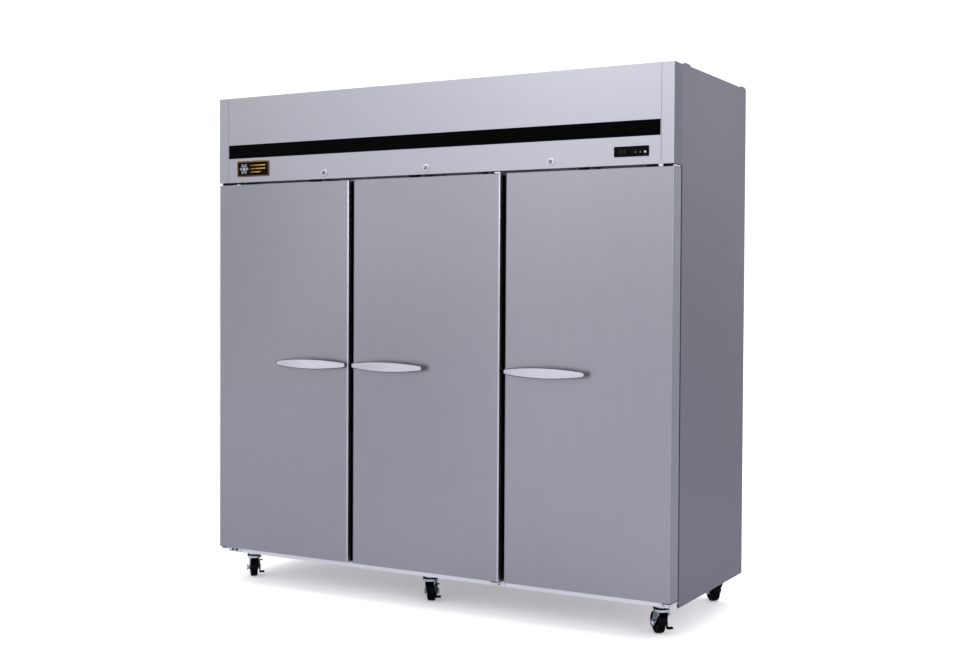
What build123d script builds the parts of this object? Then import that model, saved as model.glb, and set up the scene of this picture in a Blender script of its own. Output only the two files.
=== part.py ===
from build123d import *
from math import cos, radians, sin
import os

# Three-door reach-in refrigerator on casters, in millimetres.
# X runs left to right along the front, +Y points to the rear, +Z up.
# The origin is on the floor, under the middle of the overall box.

os.makedirs("parts", exist_ok=True)

# cabinet
width = 2080.0
half = width / 2
door_y = -372.0  # outer face of the doors and of the header
face_y = -291.0  # front face of the cabinet, where the gaskets close
rear_y = 410.0
base_z = 119.5  # underside of the cabinet
roof_z = 1718.0  # roof of the cold box, floor of the machine compartment
top_z = 2080.0
sheet = 1.2
flange = 30.0
wall = 60.0
liner_t = 1.0
inner_x = half - wall
inner_y = 350.0
inner_z0, inner_z1 = 195.0, 1650.0
mullion_x, mullion_w, mullion_d = 350.75, 100.0, 60.0
sill_d, sill_h = 19.0, 19.5

# header
header_z0, header_z1 = 1717.8, 2077.8
panel_half = 991.5
grille_z0, grille_z1 = 1819.6, 1877.2
slat_count, slat_t, slat_d = 6, 3.0, 12.0
badge = (-940.5, -770.5, 1741.0, 1807.0)
lock_x = (-484.7, 6.8, 553.9)
lock_z = 1742.5
cam_l, cam_w, cam_t = 47.0, 14.0, 3.0
cam_y = -345.0
case_x0, case_x1, case_z0, case_z1 = 809.5, 945.0, 1747.4, 1785.0
key_x = (894.7, 912.9, 931.3)
key_z, key_r, key_gap = 1762.7, 4.2, 0.1

# doors: left edge, right edge, hinge side (-1 left, +1 right)
doors = ((-1040.0, -363.0, -1), (-338.5, 338.5, 1), (363.0, 1040.0, 1))
door_z0, door_z1 = 150.0, 1707.0
door_d = 70.0
door_edge_r = 6.0  # rounding of the upright front edges
pivot_in, pivot_back = 15.0, 17.0
pin_r, pin_in, fit = 5.0, 12.0, 0.05
gasket_in, gasket_w, gasket_d = 20.0, 14.0, 10.7
handle_z, handle_l, handle_t = 957.0, 338.0, 4.0
handle_mid_h, handle_end_r = 36.0, 8.0
handle_free_in = 6.0
stand_free, stand_mid, stand_inner = 17.0, 37.0, 28.0
foot_r = 7.0

# shelves
shelf_z = (480.0, 830.0, 1180.0)
shelf_t, wire_t = 8.0, 6.0
cells_x, cells_y = 8, 2
shelf_y0, shelf_y1 = -215.0, 330.0
bays = ((-inner_x, -mullion_x - mullion_w / 2), (-mullion_x + mullion_w / 2, mullion_x - mullion_w / 2),
        (mullion_x + mullion_w / 2, inner_x))
track_w, track_t = 22.0, 8.0
clip_l, clip_t = 12.0, 4.0

# casters: swivel axis x, y, and the direction in which the wheel trails, degrees from +X
casters = ((-954.0, -240.0, 134.0), (-45.0, -240.0, 112.0), (954.0, -240.0, 133.0),
           (-954.0, 352.0, 128.0), (-45.0, 352.0, 120.0), (954.0, 352.0, 135.0))
braked = 3
wheel_r, wheel_w, trail = 39.0, 30.0, 30.0
fork_gap, fork_t = 36.0, 2.5
axle_r, king_r = 5.0, 7.0
plate_x, plate_y, plate_t = 60.0, 92.0, 4.0
race_r, race_h = 25.0, 16.0
crown_r, crown_h = 30.0, 10.0

# refrigeration
fan_r, hub_r = 95.0, 24.0
evap_x, evap_y0, evap_y1, evap_z0 = 280.0, -60.0, 330.0, 1510.0
evap_fan_y = -52.0
cond_x0, cond_x1, cond_z0, cond_z1 = -330.0, 150.0, 1735.0, 2015.0
cond_y0, cond_y1 = -230.0, -170.0
cond_fan_y = -130.0
comp_x, comp_y = -90.0, 120.0


# cabinet shell

with BuildPart() as side_panels:
    for side in (-1, 1):
        with Locations((side * (half - flange / 2), (face_y + rear_y) / 2, (base_z + top_z) / 2)):
            Box(flange, rear_y - face_y, top_z - base_z)
        with Locations((side * (half - sheet - flange / 2), (face_y + rear_y) / 2, (base_z + top_z) / 2)):
            Box(flange, rear_y - face_y - 2 * sheet, top_z - base_z - 2 * sheet, mode=Mode.SUBTRACT)
        # the top flange is only two short tabs, and the front and rear flanges end at the roof
        with Locations((side * (half - sheet - flange / 2), 45.0, top_z)):
            Box(flange, 560.0, 4 * sheet, mode=Mode.SUBTRACT)
        with Locations((side * (half - sheet - flange / 2), rear_y, (roof_z + top_z) / 2)):
            Box(flange, 4 * sheet, top_z - roof_z - 4 * sheet, mode=Mode.SUBTRACT)
    chamfer(side_panels.edges().filter_by(Axis.X).group_by(Axis.Z)[-1].group_by(Axis.Y)[-1], 1.0)
side_panels.part.label = "side_panels"
export_step(side_panels.part, "parts/side_panels.step")

with BuildPart() as back_panel:
    with BuildSketch(Plane.YZ.offset(-half + flange)):
        with BuildLine():
            Polyline((rear_y, base_z), (rear_y, roof_z), (face_y, roof_z), (face_y, roof_z - sheet),
                     (rear_y - sheet, roof_z - sheet), (rear_y - sheet, base_z), close=True)
        make_face()
    extrude(amount=width - 2 * flange)
back_panel.part.label = "back_panel"
export_step(back_panel.part, "parts/back_panel.step")

with BuildPart() as base_pan:
    with Locations((0, (face_y + rear_y - sheet) / 2, base_z + sheet / 2)):
        Box(width - 2 * flange, rear_y - sheet - face_y, sheet)
    # the front edge rises as a boxed sill under the doors
    with BuildSketch(Plane.YZ.offset(-half)):
        with BuildLine():
            Polyline((face_y, base_z), (face_y - sill_d, base_z), (face_y - sill_d, base_z + sill_h),
                     (face_y, base_z + sill_h), (face_y, base_z + sill_h - sheet),
                     (face_y - sill_d + sheet, base_z + sill_h - sheet),
                     (face_y - sill_d + sheet, base_z + sheet), (face_y, base_z + sheet), close=True)
        make_face()
    extrude(amount=width)
base_pan.part.label = "base_pan"
export_step(base_pan.part, "parts/base_pan.step")

foam_y0, foam_y1 = face_y + sheet, rear_y - sheet
foam_z0, foam_z1 = base_z + sheet, roof_z - sheet
foam_x = half - sheet
skin_x, skin_z0, skin_z1 = inner_x + liner_t, inner_z0 - liner_t, inner_z1 + liner_t
joint = 0.2  # the slabs are cut this much short of each other
with BuildPart() as foam_insulation:
    for side in (-1, 1):
        with Locations((side * (skin_x + foam_x) / 2, (foam_y0 + foam_y1) / 2, (foam_z0 + foam_z1) / 2)):
            Box(foam_x - skin_x, foam_y1 - foam_y0, foam_z1 - foam_z0)
    for low, high in ((foam_z0, skin_z0), (skin_z1, foam_z1)):
        with Locations((0, (foam_y0 + foam_y1) / 2, (low + high) / 2)):
            Box(2 * (skin_x - joint), foam_y1 - foam_y0, high - low)
    with Locations((0, (inner_y + liner_t + foam_y1) / 2, (skin_z0 + skin_z1) / 2)):
        Box(2 * (skin_x - joint), foam_y1 - inner_y - liner_t, skin_z1 - skin_z0 - 2 * joint)
foam_insulation.part.label = "foam_insulation"
export_step(foam_insulation.part, "parts/foam_insulation.step")

with BuildPart() as interior_liner:
    with Locations((0, (face_y + inner_y + liner_t) / 2, (inner_z0 + inner_z1) / 2)):
        Box(2 * skin_x, inner_y + liner_t - face_y, skin_z1 - skin_z0)
    with Locations((0, face_y + liner_t / 2, (door_z0 + roof_z - sheet) / 2)):
        Box(2 * (half - flange), liner_t, roof_z - sheet - door_z0)
    with Locations((0, (face_y + inner_y) / 2, (inner_z0 + inner_z1) / 2)):
        Box(2 * inner_x, inner_y - face_y, inner_z1 - inner_z0, mode=Mode.SUBTRACT)
    fillet(interior_liner.edges().filter_by(Axis.Z).group_by(Axis.Y)[-2:], 0.4)
interior_liner.part.label = "interior_liner"
export_step(interior_liner.part, "parts/interior_liner.step")

with BuildPart() as mullions:
    with Locations((-mullion_x, face_y + mullion_d / 2, (inner_z0 + inner_z1) / 2),
                   (mullion_x, face_y + mullion_d / 2, (inner_z0 + inner_z1) / 2)):
        Box(mullion_w, mullion_d, inner_z1 - inner_z0)
    fillet(mullions.edges().filter_by(Axis.Z).group_by(Axis.Y)[-1], 6)
mullions.part.label = "mullions"
export_step(mullions.part, "parts/mullions.step")


# header

plate_h = 5.0
top_plate_z = (door_z1 + header_z0 - plate_h) / 2
bottom_plate_z = base_z + sill_h + 1.0
pivots = [(x0 + pivot_in if side < 0 else x1 - pivot_in, side) for x0, x1, side in doors]
notches = [(px - side * 22.0, face_y, header_z0) for px, side in pivots]  # let the upper hinge plates past

lock_slot = (-cam_w / 2 - 3, cam_l + 3)  # the cam sweeps this far to each side of its axis below the header
with BuildPart() as header_panel:
    with Locations((0, (door_y + face_y) / 2, (header_z0 + header_z1) / 2)):
        Box(2 * panel_half, face_y - door_y, header_z1 - header_z0)
    with Locations((0, (door_y + face_y) / 2 + sheet, (header_z0 + header_z1) / 2)):
        Box(2 * panel_half, face_y - door_y, header_z1 - header_z0 - 2 * sheet, mode=Mode.SUBTRACT)
    with Locations((0, door_y, (grille_z0 + grille_z1) / 2)):
        Box(2 * panel_half - 6, 8 * sheet, grille_z1 - grille_z0, mode=Mode.SUBTRACT)
    with Locations(((case_x0 + case_x1) / 2, door_y, (case_z0 + case_z1) / 2)):
        Box(case_x1 - case_x0 - 6, 8 * sheet, case_z1 - case_z0 - 6, mode=Mode.SUBTRACT)
    with BuildSketch(Plane.XZ.offset(-door_y)):
        with Locations(*[(x, lock_z) for x in lock_x]):
            Circle(11.2)
    extrude(amount=-4 * sheet, mode=Mode.SUBTRACT)
    # slots in the bottom flange let the lock cams down
    with Locations(*[(x + sum(lock_slot) / 2, cam_y + cam_t / 2, header_z0) for x in lock_x]):
        Box(lock_slot[1] - lock_slot[0], 3 * cam_t, 4 * sheet, mode=Mode.SUBTRACT)
    with Locations(*notches):
        Box(72, 10, 4 * sheet, mode=Mode.SUBTRACT)
header_panel.part.label = "header_panel"
export_step(header_panel.part, "parts/header_panel.step")

with BuildPart() as header_end_caps:
    cap_w = half - panel_half
    for side in (-1, 1):
        with Locations((side * (half - cap_w / 2), (door_y + face_y) / 2, (header_z0 + header_z1) / 2)):
            Box(cap_w, face_y - door_y, header_z1 - header_z0)
        with Locations((side * (half - cap_w / 2 - sheet), (door_y + face_y) / 2 + sheet,
                        (header_z0 + header_z1) / 2)):
            Box(cap_w, face_y - door_y, header_z1 - header_z0 - 2 * sheet, mode=Mode.SUBTRACT)
    with Locations(*notches):
        Box(72, 10, 4 * sheet, mode=Mode.SUBTRACT)
header_end_caps.part.label = "header_end_caps"
export_step(header_end_caps.part, "parts/header_end_caps.step")

grille_w, grille_h = 2 * panel_half - 6.4, grille_z1 - grille_z0 - 0.4
with BuildPart() as intake_grille:
    with BuildSketch(Plane.XZ.offset(-door_y - sheet)):
        with Locations((0, (grille_z0 + grille_z1) / 2)):
            Rectangle(grille_w, grille_h)
            Rectangle(grille_w - 8, grille_h - 6, mode=Mode.SUBTRACT)
    extrude(amount=-slat_d)
    # ribs hold the slats from behind
    with BuildSketch(Plane.XZ.offset(-door_y - sheet - slat_d + 5)):
        with Locations((0, (grille_z0 + grille_z1) / 2)):
            with GridLocations(247.0, 1, 7, 1):
                Rectangle(4, grille_h)
    extrude(amount=-5.0)
    pitch = (grille_h - 6) / slat_count
    for i in range(slat_count):
        z = grille_z0 + 3.2 + (i + 0.5) * pitch
        with BuildSketch(Plane.YZ.offset(-grille_w / 2)):
            with Locations((door_y + sheet + slat_d / 2, z)):
                Rectangle(slat_d, slat_t, rotation=25)
        extrude(amount=grille_w)
intake_grille.part.label = "intake_grille"
export_step(intake_grille.part, "parts/intake_grille.step")

badge_w, badge_h = badge[1] - badge[0], badge[3] - badge[2]
with BuildPart() as badge_plate:
    with BuildSketch(Plane.XZ.offset(-door_y)):
        with Locations(((badge[0] + badge[1]) / 2, (badge[2] + badge[3]) / 2)):
            RectangleRounded(badge_w, badge_h, 5)
    extrude(amount=2.0)
    # a raised border around the plain field
    with BuildSketch(Plane.XZ.offset(-door_y + 2.0)):
        with Locations(((badge[0] + badge[1]) / 2, (badge[2] + badge[3]) / 2)):
            RectangleRounded(badge_w, badge_h, 5)
            RectangleRounded(badge_w - 5, badge_h - 5, 4, mode=Mode.SUBTRACT)
    extrude(amount=0.6)
badge_plate.part.label = "badge_plate"
export_step(badge_plate.part, "parts/badge_plate.step")

case_w, case_h = case_x1 - case_x0, case_z1 - case_z0
case_c = ((case_x0 + case_x1) / 2, (case_z0 + case_z1) / 2)
with BuildPart() as controller_case:
    with BuildSketch(Plane.XZ.offset(-door_y)):
        with Locations(case_c):
            RectangleRounded(case_w, case_h, 3)
    extrude(amount=3.0)
    with BuildSketch(Plane.XZ.offset(-door_y)):
        with Locations(case_c):
            Rectangle(case_w - 7, case_h - 7)
    extrude(amount=-55.0)
    fillet(controller_case.faces().sort_by(Axis.Y)[0].edges(), 0.8)
    # the display window is a shallow recess, and each key has its own well
    with BuildSketch(Plane.XZ.offset(-door_y + 3.0)):
        with Locations((case_x0 + 38, case_c[1])):
            Rectangle(62, 27)
    extrude(amount=-1.0, mode=Mode.SUBTRACT)
    with BuildSketch(Plane.XZ.offset(-door_y + 3.0)):
        with Locations(*[(x, key_z) for x in key_x]):
            Circle(key_r + key_gap)
    extrude(amount=-9.0, mode=Mode.SUBTRACT)
controller_case.part.label = "controller_case"
export_step(controller_case.part, "parts/controller_case.step")

for i, x in enumerate(key_x, 1):
    with BuildPart() as key:
        with BuildSketch(Plane.XZ.offset(-door_y + 3.8)):
            with Locations((x, key_z)):
                Circle(key_r)
        extrude(amount=-8.0)
        fillet(key.faces().sort_by(Axis.Y)[0].edges(), 0.6)
    key.part.label = f"key_{i}"
    export_step(key.part, f"parts/key_{i}.step")

bezel_r, barrel_r, plug_r = 15.0, 11.0, 9.0
with BuildPart() as lock_housings:
    with BuildSketch(Plane.XZ.offset(-door_y)):
        with Locations(*[(x, lock_z) for x in lock_x]):
            Circle(bezel_r)
            Circle(plug_r + fit, mode=Mode.SUBTRACT)
    extrude(amount=4.0)
    fillet(lock_housings.faces().group_by(Axis.Y)[0].edges().filter_by(GeomType.CIRCLE).group_by(SortBy.RADIUS)[-1],
           1.5)
    with BuildSketch(Plane.XZ.offset(-door_y)):
        with Locations(*[(x, lock_z) for x in lock_x]):
            Circle(barrel_r)
            Circle(plug_r + fit, mode=Mode.SUBTRACT)
    extrude(amount=door_y - cam_y + 1.0)
lock_housings.part.label = "lock_housings"
export_step(lock_housings.part, "parts/lock_housings.step")

for i, x in enumerate(lock_x, 1):
    with BuildPart() as lock:
        with BuildSketch(Plane.XZ.offset(-cam_y)):
            with Locations((x, lock_z)):
                Circle(plug_r)
        extrude(amount=cam_y - door_y + 3.0)
        with BuildSketch(Plane.XZ.offset(-door_y + 3.0)):
            with Locations((x, lock_z)):
                Rectangle(2, 9)
        extrude(amount=-6.0, mode=Mode.SUBTRACT)
        # the cam lies level when unlocked and turns down into the door's top when locked
        with BuildSketch(Plane.XZ.offset(-cam_y - cam_t)):
            with Locations((x, lock_z)):
                Circle(plug_r)
            with Locations((x + (cam_l - 5) / 2, lock_z)):
                Rectangle(cam_l - 5, cam_w)
            with Locations((x + cam_l - 7, lock_z)):
                Circle(7)
        extrude(amount=cam_t)
    lock.part.label = f"lock_{i}"
    export_step(lock.part, f"parts/lock_{i}.step")


# hinges: a plate above and one below each door, with a pin into the door

with BuildPart() as hinge_brackets:
    for px, side in pivots:
        inner = px - side * 55.0
        outer = px + side * (pivot_in - 4.0)
        for z, flip in ((top_plate_z, -1), (bottom_plate_z, 1)):
            with BuildSketch(Plane.XY.offset(z)):
                with BuildLine():
                    Polyline((outer, door_y + 6), (outer, face_y), (inner, face_y), (inner, face_y - 26),
                             (px - side * 14.0, door_y + 6), close=True)
                make_face()
                fillet(vertices().group_by(Axis.Y)[0], 6)
            extrude(amount=plate_h)
            pin_z = z if flip < 0 else z + plate_h
            reach = z - door_z1 + pin_in if flip < 0 else door_z0 - z - plate_h + pin_in
            with BuildSketch(Plane.XY.offset(pin_z)):
                with Locations((px, door_y + pivot_back)):
                    Circle(pin_r)
            extrude(amount=flip * reach)
        # the upper plate bends up behind the header and is screwed to the cabinet's face
        with Locations(((outer + inner) / 2, face_y - 2.0, top_plate_z + 17.0)):
            Box(abs(outer - inner), 4.0, 34.0)
        # the lower plate bends down over the sill
        with Locations(((outer + inner) / 2, face_y - sill_d - 1.5, base_z + (bottom_plate_z - base_z + 1) / 2)):
            Box(abs(outer - inner), 3.0, bottom_plate_z - base_z + 1)
        with BuildSketch(Plane.XZ.offset(-face_y + sill_d + 3.0)):
            with Locations((outer - side * 26, base_z + 10), (outer - side * 46, base_z + 10)):
                SlotOverall(12, 5)
        extrude(amount=-3.0, mode=Mode.SUBTRACT)
hinge_brackets.part.label = "hinge_brackets"
export_step(hinge_brackets.part, "parts/hinge_brackets.step")


# doors

for i, ((x0, x1, side), (px, _)) in enumerate(zip(doors, pivots), 1):
    door_w, door_h = x1 - x0, door_z1 - door_z0
    mid_x, mid_z = (x0 + x1) / 2, (door_z0 + door_z1) / 2
    back_y = door_y + door_d
    slot_x = lock_x[i - 1] + sum(lock_slot) / 2
    slot_w = lock_slot[1] - lock_slot[0]
    pin_y = door_y + pivot_back

    with BuildPart() as skin:
        with Locations((mid_x, door_y + door_d / 2, mid_z)):
            Box(door_w, door_d, door_h)
        with Locations((mid_x, door_y + door_d / 2 + sheet, mid_z)):
            Box(door_w - 2 * sheet, door_d, door_h - 2 * sheet, mode=Mode.SUBTRACT)
        fillet(skin.edges().filter_by(Axis.Z).group_by(Axis.Y)[1], door_edge_r - sheet)
        fillet(skin.edges().filter_by(Axis.Z).group_by(Axis.Y)[0], door_edge_r)
        with Locations((px, pin_y, mid_z)):
            Cylinder(pin_r + fit, door_h, mode=Mode.SUBTRACT)
        with Locations((slot_x, cam_y + cam_t / 2, door_z1)):
            Box(slot_w, 3 * cam_t, 4 * sheet, mode=Mode.SUBTRACT)
    skin.part.label = f"door_{i}_skin"
    export_step(skin.part, f"parts/door_{i}_skin.step")

    with BuildPart() as core:
        with Locations((mid_x, door_y + door_d / 2, mid_z)):
            Box(door_w - 2 * sheet, door_d - 2 * sheet, door_h - 2 * sheet)
        fillet(core.edges().filter_by(Axis.Z).group_by(Axis.Y)[0], door_edge_r - sheet)
        with Locations((px, pin_y, door_z0), (px, pin_y, door_z1)):
            Cylinder(pin_r + 1.5, 2 * (pin_in + 2), mode=Mode.SUBTRACT)
        with Locations((slot_x, cam_y + cam_t / 2, door_z1)):
            Box(slot_w, 3 * cam_t, 34, mode=Mode.SUBTRACT)
    core.part.label = f"door_{i}_core"
    export_step(core.part, f"parts/door_{i}_core.step")

    with BuildPart() as liner:
        with Locations((mid_x, back_y - sheet / 2, mid_z)):
            Box(door_w - 2 * sheet, sheet, door_h - 2 * sheet)
        with Locations((mid_x, back_y + 4, mid_z)):
            Box(door_w - 84, 8, door_h - 84)
        chamfer(liner.edges().group_by(Axis.Y)[-1], 5)
    liner.part.label = f"door_{i}_liner"
    export_step(liner.part, f"parts/door_{i}_liner.step")

    with BuildPart() as gasket:
        with BuildSketch(Plane.XZ.offset(-back_y)):
            with Locations((mid_x, mid_z)):
                RectangleRounded(door_w - 2 * gasket_in, door_h - 2 * gasket_in, 6)
                Rectangle(door_w - 2 * (gasket_in + gasket_w), door_h - 2 * (gasket_in + gasket_w),
                          mode=Mode.SUBTRACT)
        extrude(amount=-gasket_d)
        chamfer(gasket.faces().sort_by(Axis.Y)[-1].edges(), 2)
    gasket.part.label = f"door_{i}_gasket"
    export_step(gasket.part, f"parts/door_{i}_gasket.step")

    # the handle is a leaf-shaped plate, bowed out from the door, on two round feet
    free_x = (x0 if side > 0 else x1) + side * handle_free_in
    far_x = free_x + side * handle_l
    centre_x = (free_x + far_x) / 2
    with BuildPart() as handle:
        with BuildSketch(Plane.XY.offset(handle_z - handle_mid_h)):
            with BuildLine():
                # the bow runs a little past both tips, so that the leaf's outline cuts it clean
                bow = ThreePointArc((free_x - side * 5, door_y - stand_free + 0.7), (centre_x, door_y - stand_mid),
                                    (far_x + side * 5, door_y - stand_inner + 0.3))
                inside = ThreePointArc((free_x - side * 5, door_y - stand_free + 0.7 + handle_t),
                                       (centre_x, door_y - stand_mid + handle_t),
                                       (far_x + side * 5, door_y - stand_inner + 0.3 + handle_t))
                Line(bow @ 0, inside @ 0)
                Line(bow @ 1, inside @ 1)
            make_face()
        extrude(amount=2 * handle_mid_h)
        for foot_x in (centre_x - 105, centre_x + 105):
            reach = (bow.radius ** 2 - (foot_x - bow.arc_center.X) ** 2) ** 0.5 - bow.arc_center.Y + door_y
            with BuildSketch(Plane.XZ.offset(-door_y)):
                with Locations((foot_x, handle_z)):
                    Circle(foot_r)
            extrude(amount=reach - handle_t / 2)
        with BuildSketch(Plane.XZ.offset(-door_y)):
            with BuildLine():
                left, right = sorted((free_x, far_x))
                tip = handle_end_r
                ThreePointArc((left + tip, handle_z + tip), (centre_x, handle_z + handle_mid_h / 2),
                              (right - tip, handle_z + tip))
                ThreePointArc((right - tip, handle_z + tip), (right, handle_z), (right - tip, handle_z - tip))
                ThreePointArc((right - tip, handle_z - tip), (centre_x, handle_z - handle_mid_h / 2),
                              (left + tip, handle_z - tip))
                ThreePointArc((left + tip, handle_z - tip), (left, handle_z), (left + tip, handle_z + tip))
            make_face()
        extrude(amount=2 * stand_mid, mode=Mode.INTERSECT)
    handle.part.label = f"door_{i}_handle"
    export_step(handle.part, f"parts/door_{i}_handle.step")


# shelves and the slotted tracks that carry them

track_y = (face_y + mullion_d + track_w / 2, inner_y - track_w / 2 - 2)
with BuildPart() as shelf_tracks:
    for low, high in bays:
        for x, inward in ((low, 1), (high, -1)):
            with Locations(*[(x + inward * track_t / 2, y, (inner_z0 + inner_z1 - 140) / 2) for y in track_y]):
                Box(track_t, track_w, inner_z1 - inner_z0 - 140)
            # a clip on each track under each shelf
            with Locations(*[(x + inward * (track_t + clip_l / 2), y, z - clip_t / 2)
                             for y in track_y for z in shelf_z]):
                Box(clip_l, track_w - 6, clip_t)
shelf_tracks.part.label = "shelf_tracks"
export_step(shelf_tracks.part, "parts/shelf_tracks.step")

with BuildPart() as wire_shelves:
    for low, high in bays:
        shelf_w, shelf_d = high - low - 2 * track_t - 6, shelf_y1 - shelf_y0
        cell_x, cell_y = (shelf_w - wire_t) / cells_x, (shelf_d - wire_t) / cells_y
        for z in shelf_z:
            with BuildSketch(Plane.XY.offset(z)):
                with Locations(((low + high) / 2, (shelf_y0 + shelf_y1) / 2)):
                    Rectangle(shelf_w, shelf_d)
                    with GridLocations(cell_x, cell_y, cells_x, cells_y):
                        Rectangle(cell_x - wire_t, cell_y - wire_t, mode=Mode.SUBTRACT)
            extrude(amount=shelf_t)
wire_shelves.part.label = "wire_shelves"
export_step(wire_shelves.part, "parts/wire_shelves.step")


# evaporator under the ceiling of the middle bay

with BuildPart() as evaporator_housing:
    with Locations((0, (evap_y0 + evap_y1) / 2, (evap_z0 + inner_z1) / 2)):
        Box(2 * evap_x, evap_y1 - evap_y0, inner_z1 - evap_z0)
    chamfer(evaporator_housing.edges().filter_by(Axis.X).group_by(Axis.Y)[0].sort_by(Axis.Z)[0], 12)
    with Locations((0, (evap_y0 + evap_y1) / 2 + sheet, (evap_z0 + inner_z1) / 2)):
        Box(2 * (evap_x - sheet), evap_y1 - evap_y0, inner_z1 - evap_z0 - 2 * sheet, mode=Mode.SUBTRACT)
    with BuildSketch(Plane.XZ.offset(-evap_y0)):
        with Locations((0, (evap_z0 + inner_z1) / 2)):
            Circle(62)
    extrude(amount=-4 * sheet, mode=Mode.SUBTRACT)
evaporator_housing.part.label = "evaporator_housing"
export_step(evaporator_housing.part, "parts/evaporator_housing.step")

coil_w, coil_d, coil_h = 480.0, 180.0, 110.0
with BuildPart() as evaporator_coil:
    with Locations((0, 200, (evap_z0 + inner_z1) / 2)):
        Box(coil_w, coil_d, coil_h)
        with GridLocations(20, 1, 23, 1):
            Box(8, coil_d - 20, coil_h, mode=Mode.SUBTRACT)
    for side in (-1, 1):
        with BuildSketch(Plane.YZ.offset(side * coil_w / 2)):
            with Locations((200, (evap_z0 + inner_z1) / 2)):
                with GridLocations(40, 50, 4, 2):
                    Circle(5)
        extrude(amount=side * 18)
evaporator_coil.part.label = "evaporator_coil"
export_step(evaporator_coil.part, "parts/evaporator_coil.step")


# condensing unit on the roof

cond_cx, cond_cz = (cond_x0 + cond_x1) / 2, (cond_z0 + cond_z1) / 2
cond_w, cond_h = cond_x1 - cond_x0, cond_z1 - cond_z0
with BuildPart() as condenser_coil:
    with Locations((cond_cx, (cond_y0 + cond_y1) / 2, cond_cz)):
        Box(cond_w, cond_y1 - cond_y0, cond_h)
        with GridLocations(16, 1, 29, 1):
            Box(9, cond_y1 - cond_y0 - 12, cond_h - 12, mode=Mode.SUBTRACT)
    with BuildSketch(Plane.YZ.offset(cond_x1)):
        with Locations(((cond_y0 + cond_y1) / 2, cond_cz)):
            with GridLocations(30, 44, 2, 6):
                Circle(5)
    extrude(amount=15)
condenser_coil.part.label = "condenser_coil"
export_step(condenser_coil.part, "parts/condenser_coil.step")

with BuildPart() as condenser_shroud:
    with Locations((cond_cx, (cond_y1 + cond_fan_y + 20) / 2, cond_cz)):
        Box(cond_w, cond_fan_y + 20 - cond_y1, cond_h)
    with Locations((cond_cx, (cond_y1 + cond_fan_y + 20) / 2 - sheet, cond_cz)):
        Box(cond_w - 2 * sheet, cond_fan_y + 20 - cond_y1, cond_h - 2 * sheet, mode=Mode.SUBTRACT)
    with BuildSketch(Plane.XZ.offset(-cond_fan_y - 20)):
        with Locations((cond_cx, cond_cz)):
            Circle(fan_r + 12)
    extrude(amount=-4 * sheet, both=True, mode=Mode.SUBTRACT)
    # foot that stands the fan and coil on the roof
    with Locations((cond_cx, (cond_y0 + cond_fan_y + 20) / 2, (roof_z + cond_z0) / 2)):
        Box(cond_w, cond_fan_y + 20 - cond_y0, cond_z0 - roof_z)
condenser_shroud.part.label = "condenser_shroud"
export_step(condenser_shroud.part, "parts/condenser_shroud.step")

for name, cx, cy, cz, tip_r in (("evaporator_fan", 0.0, evap_fan_y + 20, (evap_z0 + inner_z1) / 2, 56.0),
                                ("condenser_fan", cond_cx, cond_fan_y, cond_cz, fan_r)):
    boss_r = hub_r * tip_r / fan_r
    with BuildPart() as fan:
        with BuildSketch(Plane.XZ.offset(-cy)):
            with Locations((cx, cz)):
                Circle(boss_r)
        extrude(amount=11, both=True)
        fillet(fan.faces().sort_by(Axis.Y)[0].edges(), 3)
        # five blades, pitched about their own radius
        for k in range(5):
            turn = 72.0 * k
            root = Plane(origin=(cx, cy, cz), x_dir=(cos(radians(turn)), 0, sin(radians(turn))), z_dir=(0, 1, 0))
            blade_plane = root.rotated((24, 0, 0))
            with BuildSketch(blade_plane):
                with BuildLine():
                    Polyline((boss_r * 0.7, -boss_r * 0.6), (tip_r * 0.75, -tip_r * 0.3), (tip_r * 0.92, -tip_r * 0.12),
                             (tip_r * 0.93, tip_r * 0.2), (tip_r * 0.6, tip_r * 0.24), (boss_r * 0.7, boss_r * 0.6),
                             close=True)
                make_face()
            extrude(amount=1.2, both=True)
    fan.part.label = name
    export_step(fan.part, f"parts/{name}.step")

comp_z = roof_z + 24.0
with BuildPart() as compressor:
    # hermetic shell: two domed shells welded at a belt
    with BuildSketch(Plane.XZ.offset(-comp_y)):
        with BuildLine():
            Polyline((comp_x, comp_z), (comp_x + 70, comp_z))
            ThreePointArc((comp_x + 70, comp_z), (comp_x + 96, comp_z + 14), (comp_x + 105, comp_z + 45))
            Polyline((comp_x + 105, comp_z + 45), (comp_x + 105, comp_z + 90), (comp_x + 110, comp_z + 90),
                     (comp_x + 110, comp_z + 98), (comp_x + 105, comp_z + 98), (comp_x + 105, comp_z + 150))
            ThreePointArc((comp_x + 105, comp_z + 150), (comp_x + 88, comp_z + 192), (comp_x + 45, comp_z + 210))
            Polyline((comp_x + 45, comp_z + 210), (comp_x, comp_z + 212), (comp_x, comp_z))
        make_face()
    revolve(axis=Axis((comp_x, comp_y, comp_z), (0, 0, 1)))
    with Locations((comp_x, comp_y, comp_z - 3)):
        Box(240, 190, 6)
    with Locations((comp_x, comp_y, roof_z + 9)):
        with GridLocations(200, 150, 2, 2):
            Cylinder(14, 18)
compressor.part.label = "compressor"
export_step(compressor.part, "parts/compressor.step")

with BuildPart() as control_box:
    with Locations((560, 200, roof_z + 75)):
        Box(260, 170, 150)
    fillet(control_box.edges().filter_by(Axis.Z), 4)
    # gland for the supply cord in the rear wall
    with BuildSketch(Plane.XZ.offset(-285)):
        with Locations((620, roof_z + 40)):
            RegularPolygon(15, 6)
            Circle(6, mode=Mode.SUBTRACT)
    extrude(amount=-14)
control_box.part.label = "control_box"
export_step(control_box.part, "parts/control_box.step")


# casters

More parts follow.
